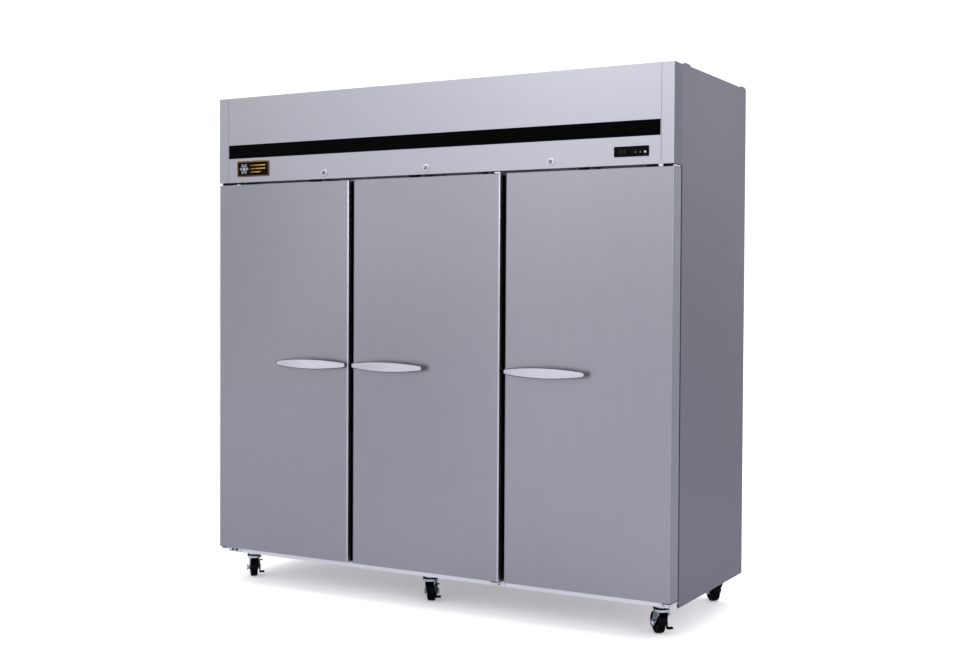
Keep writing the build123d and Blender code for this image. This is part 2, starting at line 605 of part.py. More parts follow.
with BuildPart() as caster_plates:
    with BuildSketch(Plane.XY.offset(base_z - plate_t)):
        with Locations(*[(x, y) for x, y, _ in casters]):
            RectangleRounded(plate_x, plate_y, 5)
            Circle(king_r + fit, mode=Mode.SUBTRACT)
            with GridLocations(44, 74, 2, 2):
                Circle(4.5, mode=Mode.SUBTRACT)
    extrude(amount=plate_t)
    with BuildSketch(Plane.XY.offset(base_z - plate_t - race_h)):
        with Locations(*[(x, y) for x, y, _ in casters]):
            Circle(race_r)
            Circle(king_r + fit, mode=Mode.SUBTRACT)
    extrude(amount=race_h)
caster_plates.part.label = "caster_plates"
export_step(caster_plates.part, "parts/caster_plates.step")

crown_z = base_z - plate_t - race_h - 0.5
for i, (cx, cy, turn) in enumerate(casters, 1):
    # the caster's own frame: x along the trail, y along the axle, z up from the floor
    own = Plane(origin=(cx, cy, 0), x_dir=(cos(radians(turn)), sin(radians(turn)), 0), z_dir=(0, 0, 1))
    side_plane = Plane(origin=own.origin, x_dir=own.x_dir, z_dir=-own.y_dir)  # faces along -axle, up is +z

    with BuildPart() as fork:
        with BuildSketch(own.offset(crown_z - crown_h)):
            Circle(crown_r)
        extrude(amount=crown_h)
        with BuildSketch(own.offset(crown_z)):
            Circle(king_r)
        extrude(amount=base_z - crown_z - 1)
        for low in (-fork_gap / 2 - fork_t, fork_gap / 2):
            with BuildSketch(side_plane.offset(low)):
                with BuildLine():
                    Polyline((-20, crown_z), (26, crown_z), (trail + 12, wheel_r + 6), (trail + 10, wheel_r - 10),
                             (trail - 10, wheel_r - 10), (-20, crown_z - 22), close=True)
                make_face()
                fillet(vertices().group_by(Axis.Z)[0], 6)
            extrude(amount=fork_t)
        with BuildSketch(side_plane.offset(-fork_gap / 2 - fork_t - 4)):
            with Locations((trail, wheel_r)):
                Circle(axle_r)
        extrude(amount=fork_gap + 2 * fork_t + 8)
        for low in (-fork_gap / 2 - fork_t - 4, fork_gap / 2 + fork_t):
            with BuildSketch(side_plane.offset(low)):
                with Locations((trail, wheel_r)):
                    RegularPolygon(8, 6)
            extrude(amount=4)
        if i <= braked:
            with BuildSketch(side_plane.offset(fork_gap / 2 + fork_t)):
                with Locations((8, 66)):
                    Circle(3)
            extrude(amount=5)
    fork.part.label = f"caster_{i}_fork"
    export_step(fork.part, f"parts/caster_{i}_fork.step")

    with BuildPart() as wheel:
        with BuildSketch(side_plane.offset(-wheel_w / 2)):
            with Locations((trail, wheel_r)):
                Circle(wheel_r)
        extrude(amount=wheel_w)
        fillet(wheel.edges(), 6)
        for low, way in ((-wheel_w / 2, 1), (wheel_w / 2, -1)):
            with BuildSketch(side_plane.offset(low)):
                with Locations((trail, wheel_r)):
                    Circle(27)
                    Circle(11, mode=Mode.SUBTRACT)
            extrude(amount=way * 6, mode=Mode.SUBTRACT)
            with BuildSketch(side_plane.offset(low)):
                with Locations((trail, wheel_r)):
                    Circle(11)
            extrude(amount=-way * 2.5)
        with BuildSketch(side_plane.offset(-wheel_w)):
            with Locations((trail, wheel_r)):
                Circle(axle_r + fit)
        extrude(amount=2 * wheel_w, mode=Mode.SUBTRACT)
    wheel.part.label = f"caster_{i}_wheel"
    export_step(wheel.part, f"parts/caster_{i}_wheel.step")

    if i <= braked:
        with BuildPart() as brake:
            with BuildSketch(side_plane.offset(fork_gap / 2 + fork_t + 1)):
                with BuildLine():
                    Polyline((1, 76), (15, 76), (15, 58), (10, 20), (-10, 20), (-10, 28), (-1, 34), (1, 58),
                             close=True)
                make_face()
                with Locations((8, 66)):
                    Circle(3 + fit, mode=Mode.SUBTRACT)
            extrude(amount=3)
            with BuildSketch(side_plane.offset(fork_gap / 2 + fork_t + 4)):
                with Locations((-2, 24)):
                    RectangleRounded(16, 8, 3)
            extrude(amount=18)
            with BuildSketch(side_plane.offset(fork_gap / 2 + fork_t + 4)):
                with Locations((8, 73.5)):
                    Rectangle(12, 4)
            extrude(amount=10)
        brake.part.label = f"caster_{i}_brake"
        export_step(brake.part, f"parts/caster_{i}_brake.step")
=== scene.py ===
import bpy
import math
from mathutils import Matrix, Vector


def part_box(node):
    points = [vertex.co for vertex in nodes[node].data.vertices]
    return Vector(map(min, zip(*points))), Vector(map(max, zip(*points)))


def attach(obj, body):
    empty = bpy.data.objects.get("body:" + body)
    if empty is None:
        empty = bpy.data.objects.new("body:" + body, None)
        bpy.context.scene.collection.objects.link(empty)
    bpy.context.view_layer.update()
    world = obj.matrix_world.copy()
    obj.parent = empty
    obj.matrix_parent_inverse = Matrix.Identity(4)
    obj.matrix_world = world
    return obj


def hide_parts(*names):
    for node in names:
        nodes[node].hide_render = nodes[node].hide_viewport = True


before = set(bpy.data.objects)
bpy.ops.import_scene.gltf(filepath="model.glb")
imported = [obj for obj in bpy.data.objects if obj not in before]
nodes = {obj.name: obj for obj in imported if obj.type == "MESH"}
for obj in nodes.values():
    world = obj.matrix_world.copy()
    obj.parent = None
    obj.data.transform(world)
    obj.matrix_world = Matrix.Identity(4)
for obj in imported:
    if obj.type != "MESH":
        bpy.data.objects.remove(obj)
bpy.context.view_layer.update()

# Three-door reach-in refrigerator. Metres, +Z up, the doors face -Y.


def toLinear(hexColour):
    parts = [int(hexColour[i:i + 2], 16) / 255 for i in (1, 3, 5)]
    return tuple(c / 12.92 if c <= 0.04045 else ((c + 0.055) / 1.055) ** 2.4 for c in parts) + (1.0,)


def addNode(tree, kind, settings=None, values=None, links=None):
    node = tree.nodes.new(kind)
    for name, value in (settings or {}).items():
        setattr(node, name, value)
    for name, value in (values or {}).items():
        node.inputs[name].default_value = value
    for name, socket in (links or {}).items():
        tree.links.new(socket, node.inputs[name])
    return node


def startMaterial(name, hexColour, metallic, roughness, **sockets):
    material = bpy.data.materials.new(name)
    material.use_nodes = True
    tree = material.node_tree
    tree.nodes.clear()
    shader = addNode(tree, "ShaderNodeBsdfPrincipled", values={
        "Base Color": toLinear(hexColour), "Metallic": metallic, "Roughness": roughness, **sockets})
    addNode(tree, "ShaderNodeOutputMaterial", links={"Surface": shader.outputs["BSDF"]})
    place = addNode(tree, "ShaderNodeTexCoord").outputs["Object"]
    return material, tree, shader, place


def setRamp(node, stops):
    ramp = node.color_ramp
    while len(ramp.elements) < len(stops):
        ramp.elements.new(0.5)
    for element, (at, hexColour) in zip(ramp.elements, stops):
        element.position = at
        element.color = toLinear(hexColour)


def brushedStainless(name, dark, light, roughness, grain="Z", depth=0.00002, cloud=0.5, paintedSideShade=None):
    # Cold-rolled 304 sheet with a number 4 brushed finish: a soft grey sheen that blurs along the brushing.
    material, tree, shader, place = startMaterial(name, light, 1.0, roughness)
    # real scratches are about 0.1 mm apart, drawn here at 1.5 mm so that they show
    across, along = 650, 5
    scale = {"X": (along, across, across), "Z": (across, across, along)}[grain]
    stretched = addNode(tree, "ShaderNodeMapping", values={"Scale": scale}, links={"Vector": place})
    scratches = addNode(tree, "ShaderNodeTexNoise", values={"Scale": 1.0, "Detail": 3.0, "Roughness": 0.6},
                        links={"Vector": stretched.outputs["Vector"]})
    # rolled sheet is never quite even: broad soft clouds about half a metre across
    clouds = addNode(tree, "ShaderNodeTexNoise", values={"Scale": 1.3, "Detail": 0.0}, links={"Vector": place})
    blend = addNode(tree, "ShaderNodeMix", {"data_type": "FLOAT"}, values={"Factor": cloud},
                    links={"A": scratches.outputs["Fac"], "B": clouds.outputs["Fac"]})
    tone = addNode(tree, "ShaderNodeValToRGB", links={"Fac": blend.outputs["Result"]})
    setRamp(tone, [(0.36, dark), (0.64, light)])
    colour = tone.outputs["Color"]
    if paintedSideShade:
        # painted shade: faces pointing sideways get a darker tone multiplied in, standing in for the shade on the
        # side returns
        facing = addNode(tree, "ShaderNodeSeparateXYZ",
                         links={"Vector": addNode(tree, "ShaderNodeNewGeometry").outputs["Normal"]})
        sideways = addNode(tree, "ShaderNodeMath", {"operation": "ABSOLUTE"}, links={0: facing.outputs["X"]})
        turned = addNode(tree, "ShaderNodeMath", {"operation": "GREATER_THAN"}, values={1: 0.6},
                         links={0: sideways.outputs["Value"]})
        mixed = addNode(tree, "ShaderNodeMixRGB", {"blend_type": "MULTIPLY"},
                        values={"Color2": toLinear(paintedSideShade)},
                        links={"Fac": turned.outputs["Value"], "Color1": colour})
        colour = mixed.outputs["Color"]
    tree.links.new(colour, shader.inputs["Base Color"])
    gloss = addNode(tree, "ShaderNodeMapRange", values={
        "From Min": 0.3, "From Max": 0.7, "To Min": roughness - 0.05, "To Max": roughness + 0.07},
        links={"Value": scratches.outputs["Fac"]})
    tree.links.new(gloss.outputs["Result"], shader.inputs["Roughness"])
    relief = addNode(tree, "ShaderNodeBump", values={"Strength": 0.25, "Distance": depth},
                     links={"Height": scratches.outputs["Fac"]})
    tree.links.new(relief.outputs["Normal"], shader.inputs["Normal"])
    return material


def galvanisedSteel(name, dark, light, roughness):
    # Hot-dip galvanised sheet: dull grey zinc with a faint crystal spangle about 12 mm across.
    material, tree, shader, place = startMaterial(name, light, 1.0, roughness)
    spangle = addNode(tree, "ShaderNodeTexVoronoi", values={"Scale": 80.0}, links={"Vector": place})
    flake = addNode(tree, "ShaderNodeSeparateColor", links={"Color": spangle.outputs["Color"]})
    tone = addNode(tree, "ShaderNodeValToRGB", links={"Fac": flake.outputs["Red"]})
    setRamp(tone, [(0.0, dark), (1.0, light)])
    tree.links.new(tone.outputs["Color"], shader.inputs["Base Color"])
    gloss = addNode(tree, "ShaderNodeMapRange", values={"To Min": roughness - 0.08, "To Max": roughness + 0.1},
                    links={"Value": flake.outputs["Green"]})
    tree.links.new(gloss.outputs["Result"], shader.inputs["Roughness"])
    return material


def platedMetal(name, dark, light, roughness, cloudMm=16.0):
    # Electroplate on pressed or drawn metal: bright, cool and slightly cloudy, as the bath leaves it.
    material, tree, shader, place = startMaterial(name, light, 1.0, roughness)
    cloudy = addNode(tree, "ShaderNodeTexNoise", values={"Scale": 1000 / cloudMm, "Detail": 4.0},
                     links={"Vector": place})
    tone = addNode(tree, "ShaderNodeValToRGB", links={"Fac": cloudy.outputs["Fac"]})
    setRamp(tone, [(0.3, dark), (0.7, light)])
    tree.links.new(tone.outputs["Color"], shader.inputs["Base Color"])
    gloss = addNode(tree, "ShaderNodeMapRange", values={"To Min": roughness - 0.06, "To Max": roughness + 0.12},
                    links={"Value": cloudy.outputs["Fac"]})
    tree.links.new(gloss.outputs["Result"], shader.inputs["Roughness"])
    return material


def stuccoAluminium(name, dark, light, roughness):
    # Stucco-embossed aluminium: a pebbled relief of about 8 mm that scatters light and hides dents.
    material, tree, shader, place = startMaterial(name, light, 1.0, roughness)
    pebbles = addNode(tree, "ShaderNodeTexVoronoi", {"feature": "SMOOTH_F1"}, values={"Scale": 120.0},
                      links={"Vector": place})
    relief = addNode(tree, "ShaderNodeBump", values={"Strength": 0.5, "Distance": 0.0006},
                     links={"Height": pebbles.outputs["Distance"]})
    tree.links.new(relief.outputs["Normal"], shader.inputs["Normal"])
    tone = addNode(tree, "ShaderNodeValToRGB", links={"Fac": pebbles.outputs["Distance"]})
    setRamp(tone, [(0.1, light), (0.8, dark)])
    tree.links.new(tone.outputs["Color"], shader.inputs["Base Color"])
    return material


def mouldedPlastic(name, dark, light, roughness, grainMm=1.0, bump=0.00005, **sockets):
    # Moulded from a spark-eroded tool: a fine even grain that breaks up the highlights.
    material, tree, shader, place = startMaterial(name, light, 0.0, roughness, **sockets)
    grain = addNode(tree, "ShaderNodeTexNoise", values={"Scale": 1000 / grainMm, "Detail": 2.0},
                    links={"Vector": place})
    tone = addNode(tree, "ShaderNodeValToRGB", links={"Fac": grain.outputs["Fac"]})
    setRamp(tone, [(0.35, dark), (0.65, light)])
    tree.links.new(tone.outputs["Color"], shader.inputs["Base Color"])
    relief = addNode(tree, "ShaderNodeBump", values={"Strength": 0.4, "Distance": bump},
                     links={"Height": grain.outputs["Fac"]})
    tree.links.new(relief.outputs["Normal"], shader.inputs["Normal"])
    return material


def foamedPolyurethane(name):
    # Cut polyurethane foam: pale yellow, dead matt, with small open cells.
    material, tree, shader, place = startMaterial(name, "#d9cd9f", 0.0, 0.95)
    cells = addNode(tree, "ShaderNodeTexVoronoi", values={"Scale": 400.0}, links={"Vector": place})
    relief = addNode(tree, "ShaderNodeBump", values={"Strength": 0.5, "Distance": 0.0008},
                     links={"Height": cells.outputs["Distance"]})
    tree.links.new(relief.outputs["Normal"], shader.inputs["Normal"])
    tone = addNode(tree, "ShaderNodeValToRGB", links={"Fac": cells.outputs["Distance"]})
    setRamp(tone, [(0.0, "#b9a873"), (0.6, "#e2d8ae")])
    tree.links.new(tone.outputs["Color"], shader.inputs["Base Color"])
    return material


def finStock(name, dark, light, pitchMm):
    # Aluminium fins on copper tube: thin bright edges with dark gaps between them.
    material, tree, shader, place = startMaterial(name, light, 1.0, 0.35)
    wave = addNode(tree, "ShaderNodeTexWave", {"bands_direction": "X"},
                   values={"Scale": 1000 / pitchMm / 20, "Distortion": 0.3}, links={"Vector": place})
    tone = addNode(tree, "ShaderNodeValToRGB", links={"Fac": wave.outputs["Fac"]})
    setRamp(tone, [(0.3, dark), (0.6, light)])
    tree.links.new(tone.outputs["Color"], shader.inputs["Base Color"])
    return material


nearlyMatt = {"Specular IOR Level": 0.06}  # blacks that mirror little of the white room
# the door and header sheets carry painted shade on their sideways faces
doorSteel = brushedStainless("brushed stainless door sheet", "#9c9da5", "#a6a7af", 0.34, "Z",
                             paintedSideShade="#e0dfe6")
headerSteel = brushedStainless("brushed stainless header sheet", "#b3b4bd", "#b9bac3", 0.32, "X",
                               paintedSideShade="#9494a0")
# painted shade: the side sheets and their tabs are a darker copy of the same stainless, standing in for the shade
# on the sides
shadedSideSteel = brushedStainless("brushed stainless side sheet", "#706e7a", "#7d7b88", 0.40, "Z")
# painted light: the sill is a much lighter copy of the same stainless, standing in for light it lacks low under
# the doors
litSillSteel = brushedStainless("brushed stainless sill", "#eeeef6", "#f8f8fd", 0.45, "X")
# painted light: the handles are a lighter copy of the same stainless, for their bright highlight
litHandleSteel = brushedStainless("satin stainless handle", "#dfe0e8", "#eeeff6", 0.13, "X")
# painted light: the hinge plates are a lighter copy of the same stainless
litTrimSteel = brushedStainless("stainless hinge plate", "#d6d7de", "#ecedf3", 0.3, "X")
# painted highlight: the edge bead is a lighter copy of the same stainless
highlightBeadSteel = brushedStainless("stainless edge bead with painted highlight", "#bfc0c8", "#d3d4dc", 0.3, "Z")
backSheet = galvanisedSteel("galvanised sheet", "#888c92", "#989ca2", 0.45)
linerSheet = stuccoAluminium("stucco aluminium liner", "#9fa1a5", "#d2d4d8", 0.35)
trackMetal = brushedStainless("stainless shelf track", "#9b9ca3", "#cfd0d6", 0.3, "Z")
foam = foamedPolyurethane("polyurethane foam")
gasketVinyl = mouldedPlastic("black vinyl gasket", "#050506", "#0b0b0d", 0.6, 2.0, **nearlyMatt)
louvreAbs = mouldedPlastic("black ABS louvre", "#030304", "#07070a", 0.4, 1.5, **nearlyMatt)
caseAbs = mouldedPlastic("glossy black ABS case", "#020203", "#050507", 0.25, 1.0, 0.00001, **nearlyMatt)
keyCap = mouldedPlastic("grey polycarbonate key", "#26262b", "#3a3a42", 0.4, 1.0)
whiteKey = mouldedPlastic("white polycarbonate key", "#b9bac2", "#dcdde4", 0.35, 1.0)
doorPan = mouldedPlastic("white polystyrene door liner", "#dfe1e3", "#eef0f2", 0.35, 2.0)
fanNylon = mouldedPlastic("glass-filled nylon fan", "#131416", "#26282c", 0.55, 1.2)
wheelRubber = mouldedPlastic("black polyurethane tread", "#020203", "#07070b", 0.42, 1.2, **nearlyMatt)
pedalNylon = mouldedPlastic("black nylon", "#020203", "#08080a", 0.4, 1.2, **nearlyMatt)
badgeEnamel = mouldedPlastic("black vitreous enamel", "#020203", "#060608", 0.12, 2.0, 0.00002, **nearlyMatt)
lockNickel = platedMetal("satin nickel lock", "#8c8c94", "#c4c4cc", 0.2)
bezelChrome = platedMetal("bright chromed bezel", "#c2c3cb", "#e4e5ec", 0.3)
casterZinc = platedMetal("bright zinc plate", "#a9b2bf", "#e4ebf4", 0.2)
shelfChrome = platedMetal("chromed shelf wire", "#b9bbc0", "#e6e8ee", 0.12)
giltBrass = platedMetal("gilt brass", "#b07a2a", "#e2b262", 0.25, 4.0)
copperTube = platedMetal("drawn copper tube", "#a55f3f", "#d88f6c", 0.3, 9.0)
finMetal = finStock("aluminium fin stock", "#6d7076", "#d4d7db", 4.0)
compressorPaint = mouldedPlastic("black stove enamel", "#08080a", "#15151a", 0.3, 3.0, 0.0001)
sealantGrey = mouldedPlastic("grey silicone sealant", "#6c6b76", "#7b7a86", 0.5, 2.0)
backingGrey = mouldedPlastic("dark grey leaf with painted shadow", "#3f3f46", "#4d4d55", 0.5, 1.2)
nylonWhite = mouldedPlastic("white acetal bush", "#d4d4d2", "#e6e6e4", 0.4, 1.5)
filterFoam = mouldedPlastic("black open-cell filter foam", "#020203", "#070708", 0.95, 3.0, 0.0015)
smokedWindow = mouldedPlastic("smoked acrylic window", "#020203", "#050507", 0.06, 6.0, 0.00001,
                              **{"Specular IOR Level": 0.05})
lampDiffuser = mouldedPlastic("opal polycarbonate lamp cover", "#e9edf2", "#f6f8fb", 0.3, 2.0,
                              **{"Emission Strength": 0.6, "Emission Color": toLinear("#f2f6ff")})
unlitDigit = mouldedPlastic("unlit grey display segment", "#08080a", "#0f0f12", 0.3, 1.0)

dress = {
    "side_panels": shadedSideSteel, "back_panel": backSheet, "base_pan": litSillSteel, "foam_insulation": foam,
    "interior_liner": linerSheet, "mullions": doorSteel, "header_panel": headerSteel,
    "header_end_caps": headerSteel, "intake_grille": louvreAbs, "badge_plate": badgeEnamel,
    "controller_case": caseAbs, "lock_housings": bezelChrome, "hinge_brackets": litTrimSteel,
    "shelf_tracks": trackMetal, "wire_shelves": shelfChrome, "evaporator_housing": linerSheet,
    "evaporator_coil": finMetal, "compressor": compressorPaint, "condenser_coil": finMetal,
    "condenser_shroud": backSheet, "control_box": backSheet, "caster_plates": casterZinc,
    "evaporator_fan": fanNylon, "condenser_fan": fanNylon,
}
for number in range(1, 7):
    dress[f"caster_{number}_fork"] = casterZinc
    dress[f"caster_{number}_wheel"] = wheelRubber
    dress[f"caster_{number}_brake"] = pedalNylon
for number in range(1, 4):
    dress[f"door_{number}_skin"] = doorSteel
    dress[f"door_{number}_core"] = foam
    dress[f"door_{number}_liner"] = doorPan
    dress[f"door_{number}_gasket"] = gasketVinyl
    dress[f"door_{number}_handle"] = litHandleSteel
    dress[f"lock_{number}"] = lockNickel
    dress[f"key_{number}"] = whiteKey if number == 3 else keyCap
for name, node in nodes.items():
    node.data.materials.clear()
    node.data.materials.append(dress[name])
print("materials on the model's own pieces done")


def deselectAll():
    if bpy.context.object and bpy.context.object.mode != "OBJECT":
        bpy.ops.object.mode_set(mode="OBJECT")
    bpy.ops.object.select_all(action="DESELECT")


def settle(name):
    # the new object's place, turn and size go into its mesh
    bpy.ops.object.transform_apply(location=True, rotation=True, scale=True)
    piece = bpy.context.object
    piece.name = name
    return piece


def cutBlock(name, low, high):
    deselectAll()
    bpy.ops.mesh.primitive_cube_add(size=1, location=[(a + b) / 2 for a, b in zip(low, high)])
    bpy.context.object.scale = [b - a for a, b in zip(low, high)]
    return settle(name)


def turnRod(name, centre, radius, length, axis="Z", sides=24):
    deselectAll()
    lean = {"X": (0, math.pi / 2, 0), "Y": (math.pi / 2, 0, 0), "Z": (0, 0, 0)}[axis]
    bpy.ops.mesh.primitive_cylinder_add(vertices=sides, radius=radius, depth=length, location=centre,
                                        rotation=lean)
    return settle(name)


def wireRing(name, centre, radius, wire, axis="Y", around=40):
    deselectAll()
    lean = {"X": (0, math.pi / 2, 0), "Y": (math.pi / 2, 0, 0), "Z": (0, 0, 0)}[axis]
    bpy.ops.mesh.primitive_torus_add(major_radius=radius, minor_radius=wire, major_segments=around,
                                     minor_segments=8, location=centre, rotation=lean)
    return settle(name)


def pickFaces(piece, test):
    bpy.context.view_layer.objects.active = piece
    bpy.ops.object.mode_set(mode="EDIT")
    bpy.ops.mesh.select_mode(type="FACE")
    bpy.ops.mesh.select_all(action="DESELECT")
    bpy.ops.object.mode_set(mode="OBJECT")
    for face in piece.data.polygons:
        face.select = test(face.center, face.normal)
    bpy.ops.object.mode_set(mode="EDIT")


def pushOut(distance):
    # negative pushes in
    bpy.ops.mesh.extrude_region_shrink_fatten(TRANSFORM_OT_shrink_fatten={"value": distance})


def closeUp():
    # weld doubled corners, turn the faces outwards and leave edit mode
    bpy.ops.mesh.select_all(action="SELECT")
    bpy.ops.mesh.remove_doubles(threshold=0.00001)
    bpy.ops.mesh.normals_make_consistent(inside=False)
    bpy.ops.object.mode_set(mode="OBJECT")


def raiseFaces(piece, test, inset, out):
    # inset the chosen faces, then move them out, or in where out is negative
    pickFaces(piece, test)
    bpy.ops.mesh.inset(thickness=inset, use_individual=True)
    pushOut(out)
    bpy.ops.object.mode_set(mode="OBJECT")


def easeEdges(piece, width, steps=2, angle=40):
    bevel = piece.modifiers.new("eased edges", "BEVEL")
    bevel.width, bevel.segments = width, steps
    bevel.limit_method, bevel.angle_limit = "ANGLE", math.radians(angle)
    bpy.context.view_layer.objects.active = piece
    bpy.ops.object.modifier_apply(modifier=bevel.name)


def repeat(piece, count, step):
    array = piece.modifiers.new("row", "ARRAY")
    array.count, array.use_relative_offset, array.use_constant_offset = count, False, True
    array.constant_offset_displace = step
    bpy.context.view_layer.objects.active = piece
    bpy.ops.object.modifier_apply(modifier=array.name)


def joinUp(name, pieces):
    deselectAll()
    for piece in pieces:
        piece.select_set(True)
    bpy.context.view_layer.objects.active = pieces[0]
    bpy.ops.object.join()
    pieces[0].name = name
    return pieces[0]


def copyTo(piece, name, shift, turn=0.0, stretch=(1, 1, 1), about=(0, 0, 0)):
    # a copy with its own mesh, stretched and turned about a point and then moved
    deselectAll()
    piece.select_set(True)
    bpy.context.view_layer.objects.active = piece
    bpy.ops.object.duplicate(linked=False)
    copy = bpy.context.object
    centre = Matrix.Translation(about)
    copy.matrix_world = (Matrix.Translation(shift) @ centre @ Matrix.Rotation(turn, 4, "Z")
                         @ Matrix.Diagonal((*stretch, 1)) @ centre.inverted())
    return settle(name)


def fit(piece, material, body, smooth=35):
    deselectAll()
    piece.select_set(True)
    bpy.context.view_layer.objects.active = piece
    bpy.ops.object.shade_smooth_by_angle(angle=math.radians(smooth))
    piece.data.materials.clear()
    piece.data.materials.append(material)
    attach(piece, body)
    return piece


# round-wire shelves
shelf = {"rail": 0.003, "wire": 0.0016, "pitch": 0.0245, "stays": 3, "rows": 3, "apart": 0.35,
         "height": 0.008, "weld": 0.0004, "stayEnds": 0.002, "wireEnds": 0.001, "border": 0.006}
shelvesLow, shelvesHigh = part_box("wire_shelves")
liftZ = [shelvesLow[2] + k * shelf["apart"] for k in range(shelf["rows"])]
bayEdges = [(-0.96850, -0.41175), (-0.28975, 0.28975), (0.41175, 0.96850)]
shelfY = (shelvesLow[1], shelvesHigh[1])
leftX, rightX = bayEdges[0]
midX, midY = (leftX + rightX) / 2, sum(shelfY) / 2
topZ = liftZ[0] + shelf["height"]
railZ = topZ - 2 * shelf["wire"] - shelf["rail"] + shelf["weld"]
rods = []
for y in (shelfY[0] + shelf["rail"], shelfY[1] - shelf["rail"]):
    rods.append(turnRod("rail", (midX, y, railZ), shelf["rail"], rightX - leftX, "X", 12))
for x in (leftX + shelf["rail"], rightX - shelf["rail"]):
    rods.append(turnRod("rail", (x, midY, railZ), shelf["rail"], shelfY[1] - shelfY[0], "Y", 12))
for k in range(shelf["stays"]):
    y = shelfY[0] + (k + 1) * (shelfY[1] - shelfY[0]) / (shelf["stays"] + 1)
    rods.append(turnRod("stay", (midX, y, railZ), shelf["rail"] * 0.8, rightX - leftX - 2 * shelf["stayEnds"],
                        "X", 12))
wireCount = int((rightX - leftX - 2 * shelf["border"]) / shelf["pitch"])
firstX = midX - (wireCount - 1) * shelf["pitch"] / 2
wires = turnRod("wire", (firstX, midY, topZ - shelf["wire"]), shelf["wire"],
                shelfY[1] - shelfY[0] - 2 * shelf["wireEnds"], "Y", 8)
easeEdges(wires, 0.0005, 1)
repeat(wires, wireCount, (shelf["pitch"], 0, 0))
firstShelf = joinUp("wireShelf_1_1", rods + [wires])
shelfPieces = [firstShelf]
for bay, (low, high) in enumerate(bayEdges, 1):
    for row, z in enumerate(liftZ, 1):
        if (bay, row) != (1, 1):
            shift = ((low + high) / 2 - midX, 0, z - liftZ[0])
            widen = ((high - low) / (rightX - leftX), 1, 1)
            shelfPieces.append(copyTo(firstShelf, f"wireShelf_{bay}_{row}", shift, 0, widen,
                                      (midX, midY, topZ)))
for piece in shelfPieces:
    fit(piece, shelfChrome, "cabinet")
    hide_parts("wire_shelves")
print("wire shelves done")


# header: filter mat behind the louvre, badge, controller face, lock trims
headerLow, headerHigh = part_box("header_panel")
grilleLow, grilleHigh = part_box("intake_grille")
filterMat = {"pleats": 240, "depth": 0.004, "thickness": 0.003, "behind": 0.006,
             "narrower": 0.002, "taller": 0.012}
matWidth = grilleHigh[0] - grilleLow[0] - filterMat["narrower"]
deselectAll()
bpy.ops.mesh.primitive_grid_add(x_subdivisions=filterMat["pleats"], y_subdivisions=1, size=1,
                                location=(0, grilleHigh[1] + filterMat["behind"],
                                          (grilleLow[2] + grilleHigh[2]) / 2),
                                rotation=(math.pi / 2, 0, 0))
bpy.context.object.scale = (matWidth, grilleHigh[2] - grilleLow[2] + filterMat["taller"], 1)
mat = settle("filterMat")
pleatStep = matWidth / filterMat["pleats"]
for vertex in mat.data.vertices:
    if round((vertex.co.x - grilleLow[0]) / pleatStep) % 2:
        vertex.co.y -= filterMat["depth"]
wall = mat.modifiers.new("thickness", "SOLIDIFY")
wall.thickness, wall.offset = filterMat["thickness"], 0
bpy.ops.object.modifier_apply(modifier=wall.name)
fit(mat, filterFoam, "cabinet", 20)

badgeLow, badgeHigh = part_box("badge_plate")
emblem = {"arm": 0.024, "bar": 0.0030, "lift": 0.0009, "sunk": 0.0004, "left": 0.048, "recess": 0.0006,
          "twig": 0.0045, "twigAt": 0.62, "twigApart": 0.0034, "twigLean": 55, "twigBar": 0.4}
emblemX, emblemZ = (badgeLow[0] + badgeHigh[0]) / 2 - emblem["left"], (badgeLow[2] + badgeHigh[2]) / 2
faceY = badgeLow[1] + emblem["recess"]
flakes = []
for k in range(3):
    spoke = cutBlock("arm", (emblemX - emblem["arm"], faceY - emblem["lift"], emblemZ - emblem["bar"] / 2),
                     (emblemX + emblem["arm"], faceY + emblem["sunk"], emblemZ + emblem["bar"] / 2))
    twigs = [spoke]
    for side in (-1, 1):
        for lean in (-1, 1):
            twig = cutBlock("twig", (-emblem["twig"], -emblem["lift"], -emblem["bar"] * emblem["twigBar"]),
                            (emblem["twig"], emblem["sunk"], emblem["bar"] * emblem["twigBar"]))
            root = Matrix.Translation((emblemX + side * emblem["arm"] * emblem["twigAt"], faceY,
                                       emblemZ + lean * emblem["twigApart"]))
            tilt = math.radians(-side * lean * emblem["twigLean"])
            twig.data.transform(root @ Matrix.Rotation(tilt, 4, "Y"))
            twigs.append(twig)
    arm = joinUp("arm", twigs)
    about = Matrix.Translation((emblemX, faceY, emblemZ))
    arm.data.transform(about @ Matrix.Rotation(math.radians(60 * k), 4, "Y") @ about.inverted())
    flakes.append(arm)
snowflake = joinUp("badgeSnowflake", flakes)
easeEdges(snowflake, 0.0003, 1)
fit(snowflake, shelfChrome, "cabinet")
stripes = {"widths": (0.080, 0.080, 0.054), "right": 0.034, "pitch": 0.014, "half": 0.0022}
bars = []
for k, width in enumerate(stripes["widths"]):
    z = emblemZ + stripes["pitch"] - k * stripes["pitch"]
    bars.append(cutBlock("bar", (emblemX + stripes["right"], faceY - emblem["lift"], z - stripes["half"]),
                         (emblemX + stripes["right"] + width, faceY + emblem["sunk"], z + stripes["half"])))
badgeBars = joinUp("badgeBars", bars)
easeEdges(badgeBars, 0.0006, 2)
fit(badgeBars, giltBrass, "cabinet")
rim = {"in": 0.002, "proud": 0.0002, "sunk": 0.0016, "width": 0.0016}
rimPlate = cutBlock("badgeRim", (badgeLow[0] + rim["in"], badgeLow[1] - rim["proud"], badgeLow[2] + rim["in"]),
                    (badgeHigh[0] - rim["in"], badgeLow[1] + rim["sunk"], badgeHigh[2] - rim["in"]))
pickFaces(rimPlate, lambda c, n: abs(n.y) > 0.9)
bpy.ops.mesh.inset(thickness=rim["width"], use_individual=True)
bpy.ops.mesh.bridge_edge_loops()
bpy.ops.object.mode_set(mode="OBJECT")
easeEdges(rimPlate, 0.0004, 2)
fit(rimPlate, giltBrass, "cabinet")

